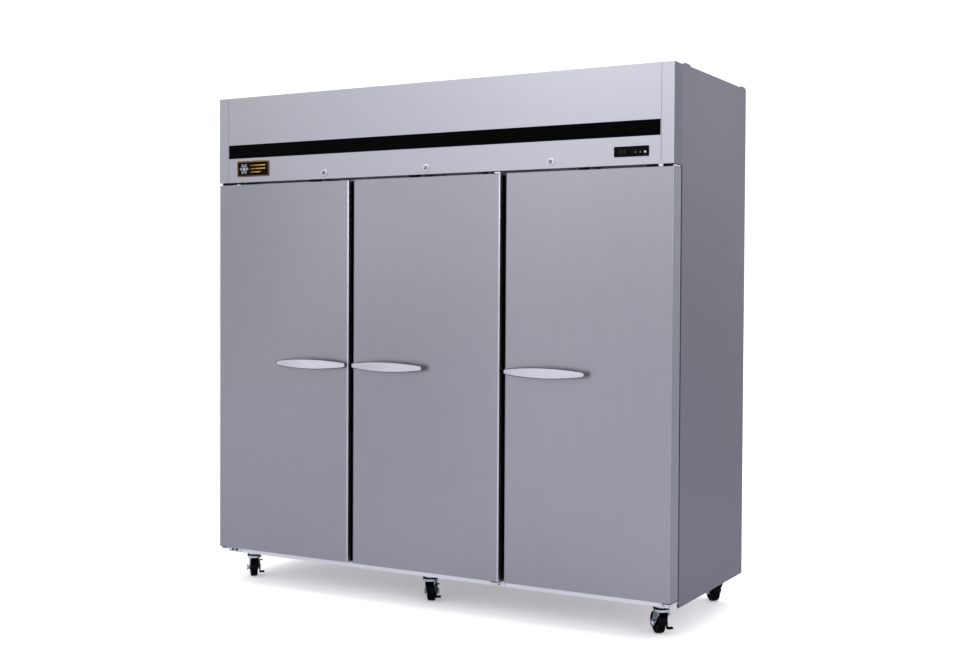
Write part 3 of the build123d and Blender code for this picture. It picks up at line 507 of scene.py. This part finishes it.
caseLow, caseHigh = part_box("controller_case")
window = {"from": (0.0085, 0.006), "to": (0.0675, 0.0315), "front": 0.0002, "back": 0.0009}
glass = cutBlock("displayWindow",
                 (caseLow[0] + window["from"][0], caseLow[1] + window["front"], caseLow[2] + window["from"][1]),
                 (caseLow[0] + window["to"][0], caseLow[1] + window["back"], caseLow[2] + window["to"][1]))
raiseFaces(glass, lambda c, n: n.y < -0.9, 0.0016, 0.0003)
easeEdges(glass, 0.0002, 1)
fit(glass, smokedWindow, "cabinet")
# each stroke of a digit: centre across, centre up, width, height
digit = {"from": 0.026, "apart": 0.014, "half": 0.0004,
         "strokes": ((0, 0.0068, 0.0066, 0.0016), (0, 0, 0.0066, 0.0016), (0, -0.0068, 0.0066, 0.0016),
                     (0.0036, 0.0034, 0.0016, 0.0052), (0.0036, -0.0034, 0.0016, 0.0052))}
caseMid = (caseLow[2] + caseHigh[2]) / 2
segments = []
for k in range(2):
    for across, up, wide, tall in digit["strokes"]:
        x, z = caseLow[0] + digit["from"] + k * digit["apart"] + across, caseMid + up
        segments.append(cutBlock("segment", (x - wide / 2, caseLow[1] - digit["half"], z - tall / 2),
                                 (x + wide / 2, caseLow[1] + digit["half"], z + tall / 2)))
digits = joinUp("displayDigits", segments)
easeEdges(digits, 0.0002, 1)
fit(digits, unlitDigit, "cabinet")

keyway = {"lockHalf": 0.009, "radius": 0.0062, "depth": 0.0012, "rim": 0.0014, "back": 0.0013,
          "hollow": 0.0009}
locksLow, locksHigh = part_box("lock_housings")
lockZ = (locksLow[2] + locksHigh[2]) / 2
lockX = [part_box(f"lock_{k}")[0][0] + keyway["lockHalf"] for k in (1, 2, 3)]
firstKeyway = turnRod("keywayRing_1", (lockX[0], locksLow[1] + keyway["back"], lockZ), keyway["radius"],
                      keyway["depth"], "Y", 32)
raiseFaces(firstKeyway, lambda c, n: n.y < -0.9, keyway["rim"], -keyway["hollow"])
keyways = [firstKeyway] + [copyTo(firstKeyway, f"keywayRing_{k}", (lockX[k - 1] - lockX[0], 0, 0))
                           for k in (2, 3)]
for k, piece in enumerate(keyways, 1):
    fit(piece, pedalNylon, f"lock_{k}")
print("header trims done")


# handles: a dark grey leaf a little larger than each plate sits behind it and shows as a thin dark line round it,
# partly the plate's edge and partly painted shadow under it
backing = {"rim": 0.0024, "thickness": 0.0022, "behind": 0.0014, "tip": 0.008, "columns": 64}
stand = {"free": 0.017, "middle": 0.037, "inner": 0.028}
for number, hinged in ((1, -1), (2, 1), (3, 1)):
    low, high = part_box(f"door_{number}_handle")
    midX, midZ, long = (low[0] + high[0]) / 2, (low[2] + high[2]) / 2, (high[0] - low[0]) / 2
    tall = (high[2] - low[2]) / 2
    deselectAll()
    bpy.ops.mesh.primitive_grid_add(x_subdivisions=backing["columns"], y_subdivisions=2, size=2,
                                    location=(0, 0, 0), rotation=(math.pi / 2, 0, 0))
    leaf = settle(f"handleBacking_{number}")
    for vertex in leaf.data.vertices:
        # closer columns towards the rounded tips
        along = math.sin(vertex.co.x * math.pi / 2)
        fromTip = (1 - abs(along)) * long
        straight = long - backing["tip"]
        bulge = (straight ** 2 + (tall - backing["tip"]) ** 2) / (2 * (tall - backing["tip"]))
        if fromTip < backing["tip"]:
            half = math.sqrt(max(0, backing["tip"] ** 2 - (backing["tip"] - fromTip) ** 2))
        else:
            half = tall - bulge + math.sqrt(bulge ** 2 - (along * long) ** 2)
        out = stand["middle"] + (stand["inner"] - stand["free"]) / 2 * along * hinged + (
            (stand["inner"] + stand["free"]) / 2 - stand["middle"]) * along ** 2
        vertex.co = (midX + along * (long + backing["rim"]), headerLow[1] - out + backing["behind"],
                     midZ + vertex.co.z * (half + backing["rim"]))
    bpy.ops.object.mode_set(mode="EDIT")
    closeUp()
    wall = leaf.modifiers.new("thickness", "SOLIDIFY")
    wall.thickness, wall.offset = backing["thickness"], 0 if leaf.data.polygons[0].normal.y else 1
    bpy.ops.object.modifier_apply(modifier=wall.name)
    fit(leaf, backingGrey, f"door_{number}", 30)
print("handle backings done")


# a bead of grey sealant fills the seam between the header and each end cap
seam = {"half": 0.0008, "proud": 0.0003, "sunk": 0.0004, "ends": 0.001}
firstSeam = cutBlock("capSeam_1",
                     (headerHigh[0] - seam["half"], headerLow[1] - seam["proud"], headerLow[2] + seam["ends"]),
                     (headerHigh[0] + seam["half"], headerLow[1] + seam["sunk"], headerHigh[2] - seam["ends"]))
easeEdges(firstSeam, 0.0001, 1)
for piece in (firstSeam, copyTo(firstSeam, "capSeam_2", (-2 * headerHigh[0], 0, 0))):
    fit(piece, sealantGrey, "cabinet")

# a bead of lighter steel wraps the right edge of doors 1 and 2 as a painted highlight, and black breakers line the
# gaps behind it
bead = {"radius": 0.0060, "wall": 0.0005, "steps": 8, "leg": 0.012, "lap": 0.0002, "bed": 0.0001,
        "ends": 0.001}
breaker = {"from": 0.0195, "to": 0.068, "thickness": 0.0008, "lap": 0.0002, "ends": 0.004}
for number in (1, 2, 3):
    low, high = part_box(f"door_{number}_skin")
    if number < 3:
        deselectAll()
        centre = (high[0] - bead["radius"], low[1] + bead["radius"])
        start = (centre[0], low[1] - bead["wall"] / 2 + bead["bed"], (low[2] + high[2]) / 2)
        bpy.ops.mesh.primitive_plane_add(size=1, location=start, rotation=(0, math.pi / 2, 0))
        bpy.context.object.scale = (high[2] - low[2] - 2 * bead["ends"], bead["wall"], 1)
        strip = settle(f"edgeHighlightBead_{number}")
        bpy.ops.object.mode_set(mode="EDIT")
        bpy.ops.mesh.select_all(action="SELECT")
        bpy.ops.mesh.spin(steps=bead["steps"], angle=math.radians(-90), center=(*centre, 0), axis=(0, 0, 1))
        closeUp()
        leg = cutBlock("leg", (high[0] - bead["lap"], centre[1] - bead["lap"], low[2] + bead["ends"]),
                       (high[0] + bead["wall"] - bead["bed"], centre[1] + bead["leg"], high[2] - bead["ends"]))
        easeEdges(leg, 0.0001, 1)
        strip = joinUp(f"edgeHighlightBead_{number}", [strip, leg])
        fit(strip, highlightBeadSteel, f"door_{number}")
    for name, x, side in (("left", low[0], -1), ("right", high[0], 1)):
        if (number, name) in ((1, "left"), (3, "right")):
            continue
        inner, outer = sorted((x - side * breaker["lap"], x + side * breaker["thickness"]))
        lining = cutBlock(f"edgeBreaker_{number}_{name}",
                          (inner, low[1] + breaker["from"], low[2] + breaker["ends"]),
                          (outer, low[1] + breaker["to"], high[2] - breaker["ends"]))
        easeEdges(lining, 0.0003, 1)
        fit(lining, pedalNylon, f"door_{number}")

# the top edge of each side panel keeps two short raised tabs
sideLow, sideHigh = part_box("side_panels")
tabs = {"spans": ((-0.288, -0.212), (0.338, 0.404)), "rise": 0.006, "root": 0.0008, "thickness": 0.0012,
        "slope": 0.010}
for k, (low, high) in enumerate(tabs["spans"], 1):
    for name, x in (("left", sideLow[0]), ("right", sideHigh[0] - tabs["thickness"])):
        tab = cutBlock(f"topTab_{k}_{name}", (x, low, sideHigh[2] - tabs["root"]),
                       (x + tabs["thickness"], high, sideHigh[2] + tabs["rise"]))
        for vertex in tab.data.vertices:
            if vertex.co.z > sideHigh[2]:
                vertex.co.y += tabs["slope"] if vertex.co.y < (low + high) / 2 else -tabs["slope"]
        easeEdges(tab, 0.0004, 1)
        fit(tab, shadedSideSteel, "cabinet")

# the gap over the doors holds a reed-switch block for each door
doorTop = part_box("door_1_skin")[1][2]
gapBlocks = {"spans": ((-0.566, -0.521), (-0.074, -0.040), (0.665, 0.694)), "front": -0.368, "back": -0.335,
             "above": 0.0025}
for k, (low, high) in enumerate(gapBlocks["spans"], 1):
    block = cutBlock(f"reedSwitch_{k}", (low, gapBlocks["front"], doorTop + gapBlocks["above"]),
                     (high, gapBlocks["back"], headerLow[2]))
    easeEdges(block, 0.0015, 2)
    fit(block, pedalNylon, "cabinet")

# hinges: white bushes on the pins, screws through the plates
hinge = {"pivotX": (-1.025, 0.3235, 1.025), "pivotY": -0.355, "bush": 0.0095, "bushHeight": 0.0049,
         "below": 0.0025, "lift": 0.0042, "upperShare": 0.55,
         "screw": 0.0048, "screwIn": (0.012, 0.032), "screwAt": (-0.313, 0.1295)}
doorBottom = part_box("door_1_skin")[0][2]
bushZ = doorBottom - hinge["below"]
firstBush = turnRod("hingeBush_1_low", (hinge["pivotX"][0], hinge["pivotY"], bushZ), hinge["bush"],
                    hinge["bushHeight"], "Z", 32)
raiseFaces(firstBush, lambda c, n: n.z < -0.9, 0.0012, 0.00005)
easeEdges(firstBush, 0.0006, 2)
bushes = [firstBush]
for k, x in enumerate(hinge["pivotX"], 1):
    if k > 1:
        bushes.append(copyTo(firstBush, f"hingeBush_{k}_low", (x - hinge["pivotX"][0], 0, 0)))
    up = doorTop - doorBottom + hinge["lift"]
    bushes.append(copyTo(firstBush, f"hingeBush_{k}_high", (x - hinge["pivotX"][0], 0, up),
                         0, (1, 1, hinge["upperShare"]), (x, 0, bushZ)))
for piece in bushes:
    fit(piece, pedalNylon if piece.name.endswith("low") else nylonWhite, "cabinet")
# shims pack out the upper hinges: black nylon, and one of white acetal on the right
shims = {"front": -0.3715, "back": -0.3668, "above": 0.0012, "under": 0.0002,
         "spans": ((-1.022, -0.948, pedalNylon), (0.935, 0.976, pedalNylon), (0.982, 0.998, nylonWhite),
                   (0.262, 0.286, pedalNylon), (1.003, 1.037, pedalNylon))}
for k, (low, high, material) in enumerate(shims["spans"], 1):
    shim = cutBlock(f"hingeShim_{k}", (low, shims["front"], doorTop + shims["above"]),
                    (high, shims["back"], headerLow[2] - shims["under"]))
    easeEdges(shim, 0.001, 2)
    fit(shim, material, "cabinet")


def panScrew(name, centre, radius, facing):
    # a pan-head screw with a recess, its flat side against what it holds
    screw = turnRod(name, (0, 0, 0), radius, radius * 0.6, "Z", 20)
    pickFaces(screw, lambda c, n: n.z > 0.9)
    bpy.ops.mesh.inset(thickness=radius * 0.5)
    bpy.ops.mesh.inset(thickness=radius * 0.12)
    pushOut(-radius * 0.3)
    bpy.ops.object.mode_set(mode="OBJECT")
    easeEdges(screw, radius * 0.22, 2, 60)
    turn = Vector((0, 0, 1)).rotation_difference(Vector(facing)).to_matrix().to_4x4()
    screw.data.transform(Matrix.Translation(centre) @ turn @ Matrix.Translation((0, 0, radius * 0.28)))
    return screw


# screws down both sides of the back panel and along its foot and head
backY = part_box("back_panel")[1][1]
upright = {"x": -0.985, "from": 0.2, "pitch": 0.3, "count": 6, "radius": 0.005}
level = {"x": -0.7, "from": 0.145, "pitch": 0.35, "count": 5, "headUp": 1.55, "radius": 0.005}
firstScrew = panScrew("backScrew", (upright["x"], backY, upright["from"]), upright["radius"], (0, 1, 0))
repeat(firstScrew, upright["count"], (0, 0, upright["pitch"]))
otherRow = copyTo(firstScrew, "backScrew", (-2 * upright["x"], 0, 0))
lowRow = panScrew("backScrew", (level["x"], backY, level["from"]), level["radius"], (0, 1, 0))
repeat(lowRow, level["count"], (level["pitch"], 0, 0))
highRow = copyTo(lowRow, "backScrew", (0, 0, level["headUp"]))
backScrews = joinUp("backScrews", [firstScrew, otherRow, lowRow, highRow])
fit(backScrews, casterZinc, "cabinet")

hingeScrews = []
for x in hinge["pivotX"]:
    side = -1 if x < 0 else 1
    for inward in hinge["screwIn"]:
        hingeScrews.append(panScrew("hingeScrew", (x - side * inward, *hinge["screwAt"]), hinge["screw"],
                                    (0, -1, 0)))
hingeScrewSet = joinUp("hingeScrews", hingeScrews)
fit(hingeScrewSet, pedalNylon, "cabinet")
print("hinges and screws done")


# interior lamps: one slim lamp over each bay
lamp = {"length": 0.42, "width": 0.030, "depth": 0.012, "x": -0.69, "y": -0.215, "ceiling": 1.650}
firstLamp = cutBlock("bayLamp_1",
                     (lamp["x"] - lamp["length"] / 2, lamp["y"], lamp["ceiling"] - lamp["depth"]),
                     (lamp["x"] + lamp["length"] / 2, lamp["y"] + lamp["width"], lamp["ceiling"]))
raiseFaces(firstLamp, lambda c, n: n.z < -0.9, 0.003, -0.001)
easeEdges(firstLamp, 0.003, 3, 60)
lamps = [firstLamp] + [copyTo(firstLamp, f"bayLamp_{k}", ((1 - k) * lamp["x"], 0, 0)) for k in (2, 3)]
for piece in lamps:
    fit(piece, lampDiffuser, "cabinet")


# shares of a guard's radius, and the boss's height in wires
guardShape = {"spokeMiddle": 0.56, "spokeLength": 0.94, "boss": 0.16, "bossHeight": 2.4}


def fanGuard(name, centre, radius, wire, rings, spokes):
    # concentric wire rings welded to radial spokes
    parts = []
    for k in range(rings):
        parts.append(wireRing("ring", centre, radius * (k + 1) / rings, wire, "Y", 48))
    for k in range(spokes):
        spoke = turnRod("spoke", (radius * guardShape["spokeMiddle"], wire * 1.5, 0), wire,
                        radius * guardShape["spokeLength"], "X", 8)
        spoke.data.transform(Matrix.Translation(centre) @ Matrix.Rotation(2 * math.pi * k / spokes, 4, "Y"))
        parts.append(spoke)
    boss = turnRod("boss", (centre[0], centre[1] + wire, centre[2]), radius * guardShape["boss"],
                   wire * guardShape["bossHeight"], "Y", 24)
    easeEdges(boss, wire * 0.5, 2, 60)
    return fit(joinUp(name, parts + [boss]), shelfChrome, "cabinet")


# each guard: radius, wire, rings
guards = {"clear": 0.004, "spokes": 8, "evaporator": (0.064, 0.0015, 5), "condenser": (0.112, 0.002, 6),
          "condenserLeft": 0.0075}
evapLow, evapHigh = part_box("evaporator_housing")
fanGuard("evaporatorGuard", (0, evapLow[1] - guards["clear"], (evapLow[2] + evapHigh[2]) / 2),
         *guards["evaporator"], guards["spokes"])
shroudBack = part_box("condenser_shroud")[1][1]
condLow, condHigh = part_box("condenser_coil")
condenserX = (condLow[0] + condHigh[0]) / 2 - guards["condenserLeft"]
condenserZ = (condLow[2] + condHigh[2]) / 2
fanGuard("condenserGuard", (condenserX, shroudBack + guards["clear"], condenserZ),
         *guards["condenser"], guards["spokes"])
print("lamps and fan guards done")


def bentTube(name, points, bore):
    # drawn tube bent along a smooth route
    deselectAll()
    bpy.ops.curve.primitive_nurbs_path_add()
    tube = bpy.context.object
    spline = tube.data.splines[0]
    spline.points.add(max(0, len(points) - len(spline.points)))
    for point, place in zip(spline.points, points):
        point.co = (*place, 1)
    spline.order_u, spline.use_endpoint_u = 3, True
    tube.data.bevel_depth, tube.data.bevel_resolution, tube.data.resolution_u = bore, 4, 6
    tube.data.use_fill_caps = True
    bpy.ops.object.convert(target="MESH")
    return fit(settle(name), copperTube, "cabinet", 50)


compLow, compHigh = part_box("compressor")
compX, compY = (compLow[0] + compHigh[0]) / 2, (compLow[1] + compHigh[1]) / 2
coilX, roofTop = condHigh[0], 1.7185
drier = {"right": 0.07, "y": 0.03, "z": 1.765, "radius": 0.011, "length": 0.11, "neck": 0.006, "neckOut": 0.014}
# each line: the tube's radius and the points it bends round
routes = {
    "dischargeLine": (0.004, [
        (compX + 0.02, compY - 0.09, 1.86), (compX + 0.02, compY - 0.15, 1.90), (compX + 0.10, compY - 0.19, 2.00),
        (compX + 0.22, compY - 0.22, 2.02), (coilX + 0.03, -0.15, 2.00), (coilX + 0.02, -0.20, 1.98),
        (coilX - 0.004, -0.20, 1.985)]),
    "suctionLine": (0.006, [
        (compX - 0.08, compY + 0.05, 1.84), (compX - 0.14, compY + 0.09, 1.86), (compX - 0.17, compY + 0.12, 1.82),
        (compX - 0.17, compY + 0.13, 1.76), (compX - 0.17, compY + 0.13, roofTop)]),
    "liquidLine": (0.003, [
        (coilX - 0.004, -0.20, drier["z"]), (coilX + 0.05, -0.20, drier["z"]),
        (coilX + drier["right"], -0.14, drier["z"]), (coilX + drier["right"], -0.02, drier["z"]),
        (coilX + drier["right"], 0.10, drier["z"]), (coilX + drier["right"], 0.14, 1.75),
        (coilX + drier["right"], 0.15, roofTop)]),
}
for name, (bore, points) in routes.items():
    bentTube(name, points, bore)
drierShell = turnRod("filterDrier", (coilX + drier["right"], drier["y"], drier["z"]), drier["radius"],
                     drier["length"], "Y", 28)
for end in (-1, 1):
    pickFaces(drierShell, lambda c, n: n.y * end > 0.9)
    bpy.ops.mesh.inset(thickness=drier["neck"])
    pushOut(drier["neckOut"])
    bpy.ops.object.mode_set(mode="OBJECT")
easeEdges(drierShell, 0.002, 2)
fit(drierShell, copperTube, "cabinet")
terminals = {"x": (0.085, 0.135), "y": (-0.03, 0.03), "z": (1.79, 1.86), "step": 0.006}
cover = cutBlock("terminalCover", (compX + terminals["x"][0], compY + terminals["y"][0], terminals["z"][0]),
                 (compX + terminals["x"][1], compY + terminals["y"][1], terminals["z"][1]))
raiseFaces(cover, lambda c, n: n.x > 0.9, terminals["step"], terminals["step"])
easeEdges(cover, 0.004, 3)
fit(cover, pedalNylon, "cabinet")
lid = {"over": 0.002, "skirt": 0.012, "up": 0.0015, "short": 0.012, "border": 0.012, "dish": 0.0008,
       "screw": 0.004, "screwIn": 0.006, "screwShort": 0.022}
boxLow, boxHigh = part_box("control_box")
lidTop = boxHigh[2] + lid["up"]
lidSheet = cutBlock("controlBoxLid",
                    (boxLow[0] - lid["over"], boxLow[1] - lid["over"], boxHigh[2] - lid["skirt"]),
                    (boxHigh[0] + lid["over"], boxHigh[1] - lid["short"], lidTop))
raiseFaces(lidSheet, lambda c, n: n.z > 0.9, lid["border"], -lid["dish"])
easeEdges(lidSheet, 0.0008, 2)
fit(lidSheet, backSheet, "cabinet")
lidScrews = joinUp("controlBoxScrews", [panScrew("lidScrew", (x, y, lidTop), lid["screw"], (0, 0, 1))
                                        for x in (boxLow[0] + lid["screwIn"], boxHigh[0] - lid["screwIn"])
                                        for y in (boxLow[1] + lid["screwIn"], boxHigh[1] - lid["screwShort"])])
fit(lidScrews, casterZinc, "cabinet")
print("refrigeration details done")


# casters: bolt heads under each plate, a dust ring on the race, hub caps, and a hood and tread line per wheel
casterPlan = {"x": (-0.954, -0.045, 0.954), "y": (-0.240, 0.352), "trail": 0.030,
              "turn": (134, 112, 133, 128, 120, 135), "radius": 0.039, "crown": 0.099, "plate": 0.1155}
bolt = {"x": 0.022, "y": 0.037, "radius": 0.0066, "height": 0.0044}
firstBolt = turnRod("plateBolt", (-bolt["x"], -bolt["y"], casterPlan["plate"] - bolt["height"] / 2),
                    bolt["radius"], bolt["height"], "Z", 6)
raiseFaces(firstBolt, lambda c, n: n.z < -0.9, 0.0012, 0.0006)
easeEdges(firstBolt, 0.0005, 1)
bolts = [firstBolt] + [copyTo(firstBolt, "plateBolt", (2 * bolt["x"] * right, 2 * bolt["y"] * back, 0))
                       for right, back in ((1, 0), (0, 1), (1, 1))]
boltSet = joinUp("plateBolts", bolts)
dust = {"radius": 0.0290, "wire": 0.0030, "lift": 0.0012}
dustRing = wireRing("dustRing", (0, 0, casterPlan["crown"] + dust["lift"]), dust["radius"], dust["wire"],
                    "Z", 48)
hub = {"radius": 0.0135, "height": 0.003, "out": 0.0265,
       "steps": ((0.0015, 0.0012), (0.003, 0.001), (0.004, 0.0004))}
hubCap = turnRod("hubCap", (0, 0, 0), hub["radius"], hub["height"], "Z", 32)
pickFaces(hubCap, lambda c, n: n.z > 0.9)
for inset, out in hub["steps"]:
    bpy.ops.mesh.inset(thickness=inset)
    pushOut(out)
bpy.ops.object.mode_set(mode="OBJECT")
easeEdges(hubCap, 0.0004, 1)
# a pressed hood curves over the upper half of each wheel
hood = {"inner": 0.0415, "wall": 0.002, "width": 0.0345, "from": -15, "to": 170, "steps": 24}
deselectAll()
bpy.ops.mesh.primitive_plane_add(size=1, location=(hood["inner"] + hood["wall"] / 2, 0, 0))
bpy.context.object.scale = (hood["wall"], hood["width"], 1)
wheelHood = settle("wheelHood")
bpy.ops.object.mode_set(mode="EDIT")
bpy.ops.mesh.select_all(action="SELECT")
bpy.ops.transform.rotate(value=math.radians(hood["from"]), orient_axis="Y", center_override=(0, 0, 0))
bpy.ops.mesh.spin(steps=hood["steps"], angle=math.radians(hood["to"] - hood["from"]), center=(0, 0, 0),
                  axis=(0, 1, 0))
closeUp()
easeEdges(wheelHood, 0.0006, 2, 60)
tread = {"sunk": 0.0007, "wire": 0.0006}
treadLine = wireRing("treadLine", (0, 0, 0), casterPlan["radius"] - tread["sunk"], tread["wire"], "Z", 64)
places = [(x, y) for y in casterPlan["y"] for x in casterPlan["x"]]
for k, ((x, y), turn) in enumerate(zip(places, casterPlan["turn"]), 1):
    angle = math.radians(turn)
    fit(copyTo(boltSet, f"plateBolts_{k}", (x, y, 0)), casterZinc, "cabinet")
    fit(copyTo(dustRing, f"dustRing_{k}", (x, y, 0)), pedalNylon, f"caster_{k}")
    centre = (x + casterPlan["trail"] * math.cos(angle), y + casterPlan["trail"] * math.sin(angle),
              casterPlan["radius"])
    axle = Matrix.Rotation(angle, 4, "Z") @ Matrix.Rotation(math.radians(-90), 4, "X")
    for end in (-1, 1):
        cap = copyTo(hubCap, f"hubCap_{k}_{'near' if end > 0 else 'far'}", (0, 0, 0))
        face = Matrix.Identity(4) if end > 0 else Matrix.Rotation(math.pi, 4, "X")
        cap.data.transform(Matrix.Translation(centre) @ axle @ face @ Matrix.Translation((0, 0, hub["out"])))
        fit(cap, casterZinc, f"caster_{k}")
    cover = copyTo(wheelHood, f"wheelHood_{k}", (0, 0, 0))
    cover.data.transform(Matrix.Translation(centre) @ Matrix.Rotation(angle, 4, "Z"))
    fit(cover, pedalNylon, f"caster_{k}")
    line = copyTo(treadLine, f"treadLine_{k}", (0, 0, 0))
    line.data.transform(Matrix.Translation(centre) @ axle)
    fit(line, wheelRubber, f"wheel_{k}")
deselectAll()
for piece in (boltSet, dustRing, hubCap, wheelHood, treadLine):
    piece.select_set(True)
bpy.ops.object.delete()
print("caster details done")


stage = {"radius": 40.0, "colour": "#ffffff", "bounce": "#cdcdd2", "glow": 0.25}
deselectAll()
bpy.ops.mesh.primitive_circle_add(vertices=64, radius=stage["radius"], fill_type="NGON", location=(0, 0, 0))
floor = settle("floor")
floorPaint, floorTree, floorShader, floorPlace = startMaterial("pale floor", stage["colour"], 0.0, 0.9)
floorShader.inputs["Emission Color"].default_value = toLinear("#ffffff")
floorShader.inputs["Emission Strength"].default_value = stage["glow"]
# what the steel picks up from the floor is softer than the floor itself
seen = addNode(floorTree, "ShaderNodeLightPath")
bounce = addNode(floorTree, "ShaderNodeBsdfDiffuse", values={"Color": toLinear(stage["bounce"])})
both = addNode(floorTree, "ShaderNodeMixShader", links={
    0: seen.outputs["Is Camera Ray"], 1: bounce.outputs["BSDF"], 2: floorShader.outputs["BSDF"]})
floorOut = [node for node in floorTree.nodes if node.type == "OUTPUT_MATERIAL"][0]
floorTree.links.new(both.outputs["Shader"], floorOut.inputs["Surface"])
floor.data.materials.append(floorPaint)

# a white room with three darker parts: far left of the front, behind on the right, and in front on the right
room = {"colour": "#fdfdff", "strength": 1.22,
        "shades": (((-0.94, -0.34, 0.0), 0.79, 0.97, 0.12), ((0.53, 0.85, 0.0), 0.80, 0.97, 0.75),
                   ((0.26, -0.966, 0.0), 0.86, 0.98, 0.6))}
world = bpy.data.worlds.new("studio")
bpy.context.scene.world = world
world.use_nodes = True
world.node_tree.nodes.clear()
direction = addNode(world.node_tree, "ShaderNodeTexCoord").outputs["Generated"]
shadeSoFar = None
for toward, edge, core, depth in room["shades"]:
    facing = addNode(world.node_tree, "ShaderNodeVectorMath", {"operation": "DOT_PRODUCT"},
                     values={1: toward}, links={0: direction})
    shade = addNode(world.node_tree, "ShaderNodeMapRange", {"interpolation_type": "SMOOTHSTEP"},
                    values={"From Min": edge, "From Max": core, "To Min": 1.0, "To Max": depth},
                    links={"Value": facing.outputs["Value"]}).outputs["Result"]
    if shadeSoFar is not None:
        shade = addNode(world.node_tree, "ShaderNodeMath", {"operation": "MULTIPLY"},
                        links={0: shadeSoFar, 1: shade}).outputs["Value"]
    shadeSoFar = shade
# only the steel shows the darker parts: behind the cabinet the room stays white from every side
direct = addNode(world.node_tree, "ShaderNodeLightPath").outputs["Is Camera Ray"]
plain = addNode(world.node_tree, "ShaderNodeMath", {"operation": "MAXIMUM"},
                links={0: shadeSoFar, 1: direct})
brightness = addNode(world.node_tree, "ShaderNodeMath", {"operation": "MULTIPLY"},
                     values={1: room["strength"]}, links={0: plain.outputs["Value"]})
sky = addNode(world.node_tree, "ShaderNodeBackground", values={"Color": toLinear(room["colour"])},
              links={"Strength": brightness.outputs["Value"]})
addNode(world.node_tree, "ShaderNodeOutputWorld", links={"Surface": sky.outputs["Background"]})

lights = {
    "key": {"at": (-2.0, -6.5, 5.5), "aim": (0, 0, 1.0), "size": (4.0, 3.0), "power": 70},
    "right": {"at": (6.0, -4.5, 3.0), "aim": (0, 0, 1.0), "size": (2.0, 3.0), "power": 60},
    "top": {"at": (0.0, -1.0, 6.5), "aim": (0, 0, 0.5), "size": (4.0, 4.0), "power": 35},
}
for name, light in lights.items():
    lampData = bpy.data.lights.new(name, "AREA")
    lampData.shape, lampData.energy = "RECTANGLE", light["power"]
    lampData.size, lampData.size_y = light["size"]
    holder = bpy.data.objects.new(name, lampData)
    bpy.context.scene.collection.objects.link(holder)
    holder.location = light["at"]
    holder.rotation_euler = (Vector(light["aim"]) - Vector(light["at"])).to_track_quat("-Z", "Y").to_euler()

view = {"at": (2.7716, -4.7919, 1.2683), "turn": 29.664, "down": 1.226, "roll": 0.291,
        "lens": 49.74, "shift": -0.0192}
lens = bpy.data.cameras.new("camera")
lens.lens, lens.sensor_width, lens.shift_y, lens.clip_end = view["lens"], 36.0, view["shift"], 200
camera = bpy.data.objects.new("camera", lens)
bpy.context.scene.collection.objects.link(camera)
turn = (Matrix.Rotation(math.radians(view["turn"]), 4, "Z")
        @ Matrix.Rotation(math.radians(90 - view["down"]), 4, "X")
        @ Matrix.Rotation(math.radians(view["roll"]), 4, "Z"))
camera.matrix_world = Matrix.Translation(view["at"]) @ turn
bpy.context.scene.camera = camera
bpy.context.scene.view_settings.view_transform = "Standard"
print("floor, light and camera done")
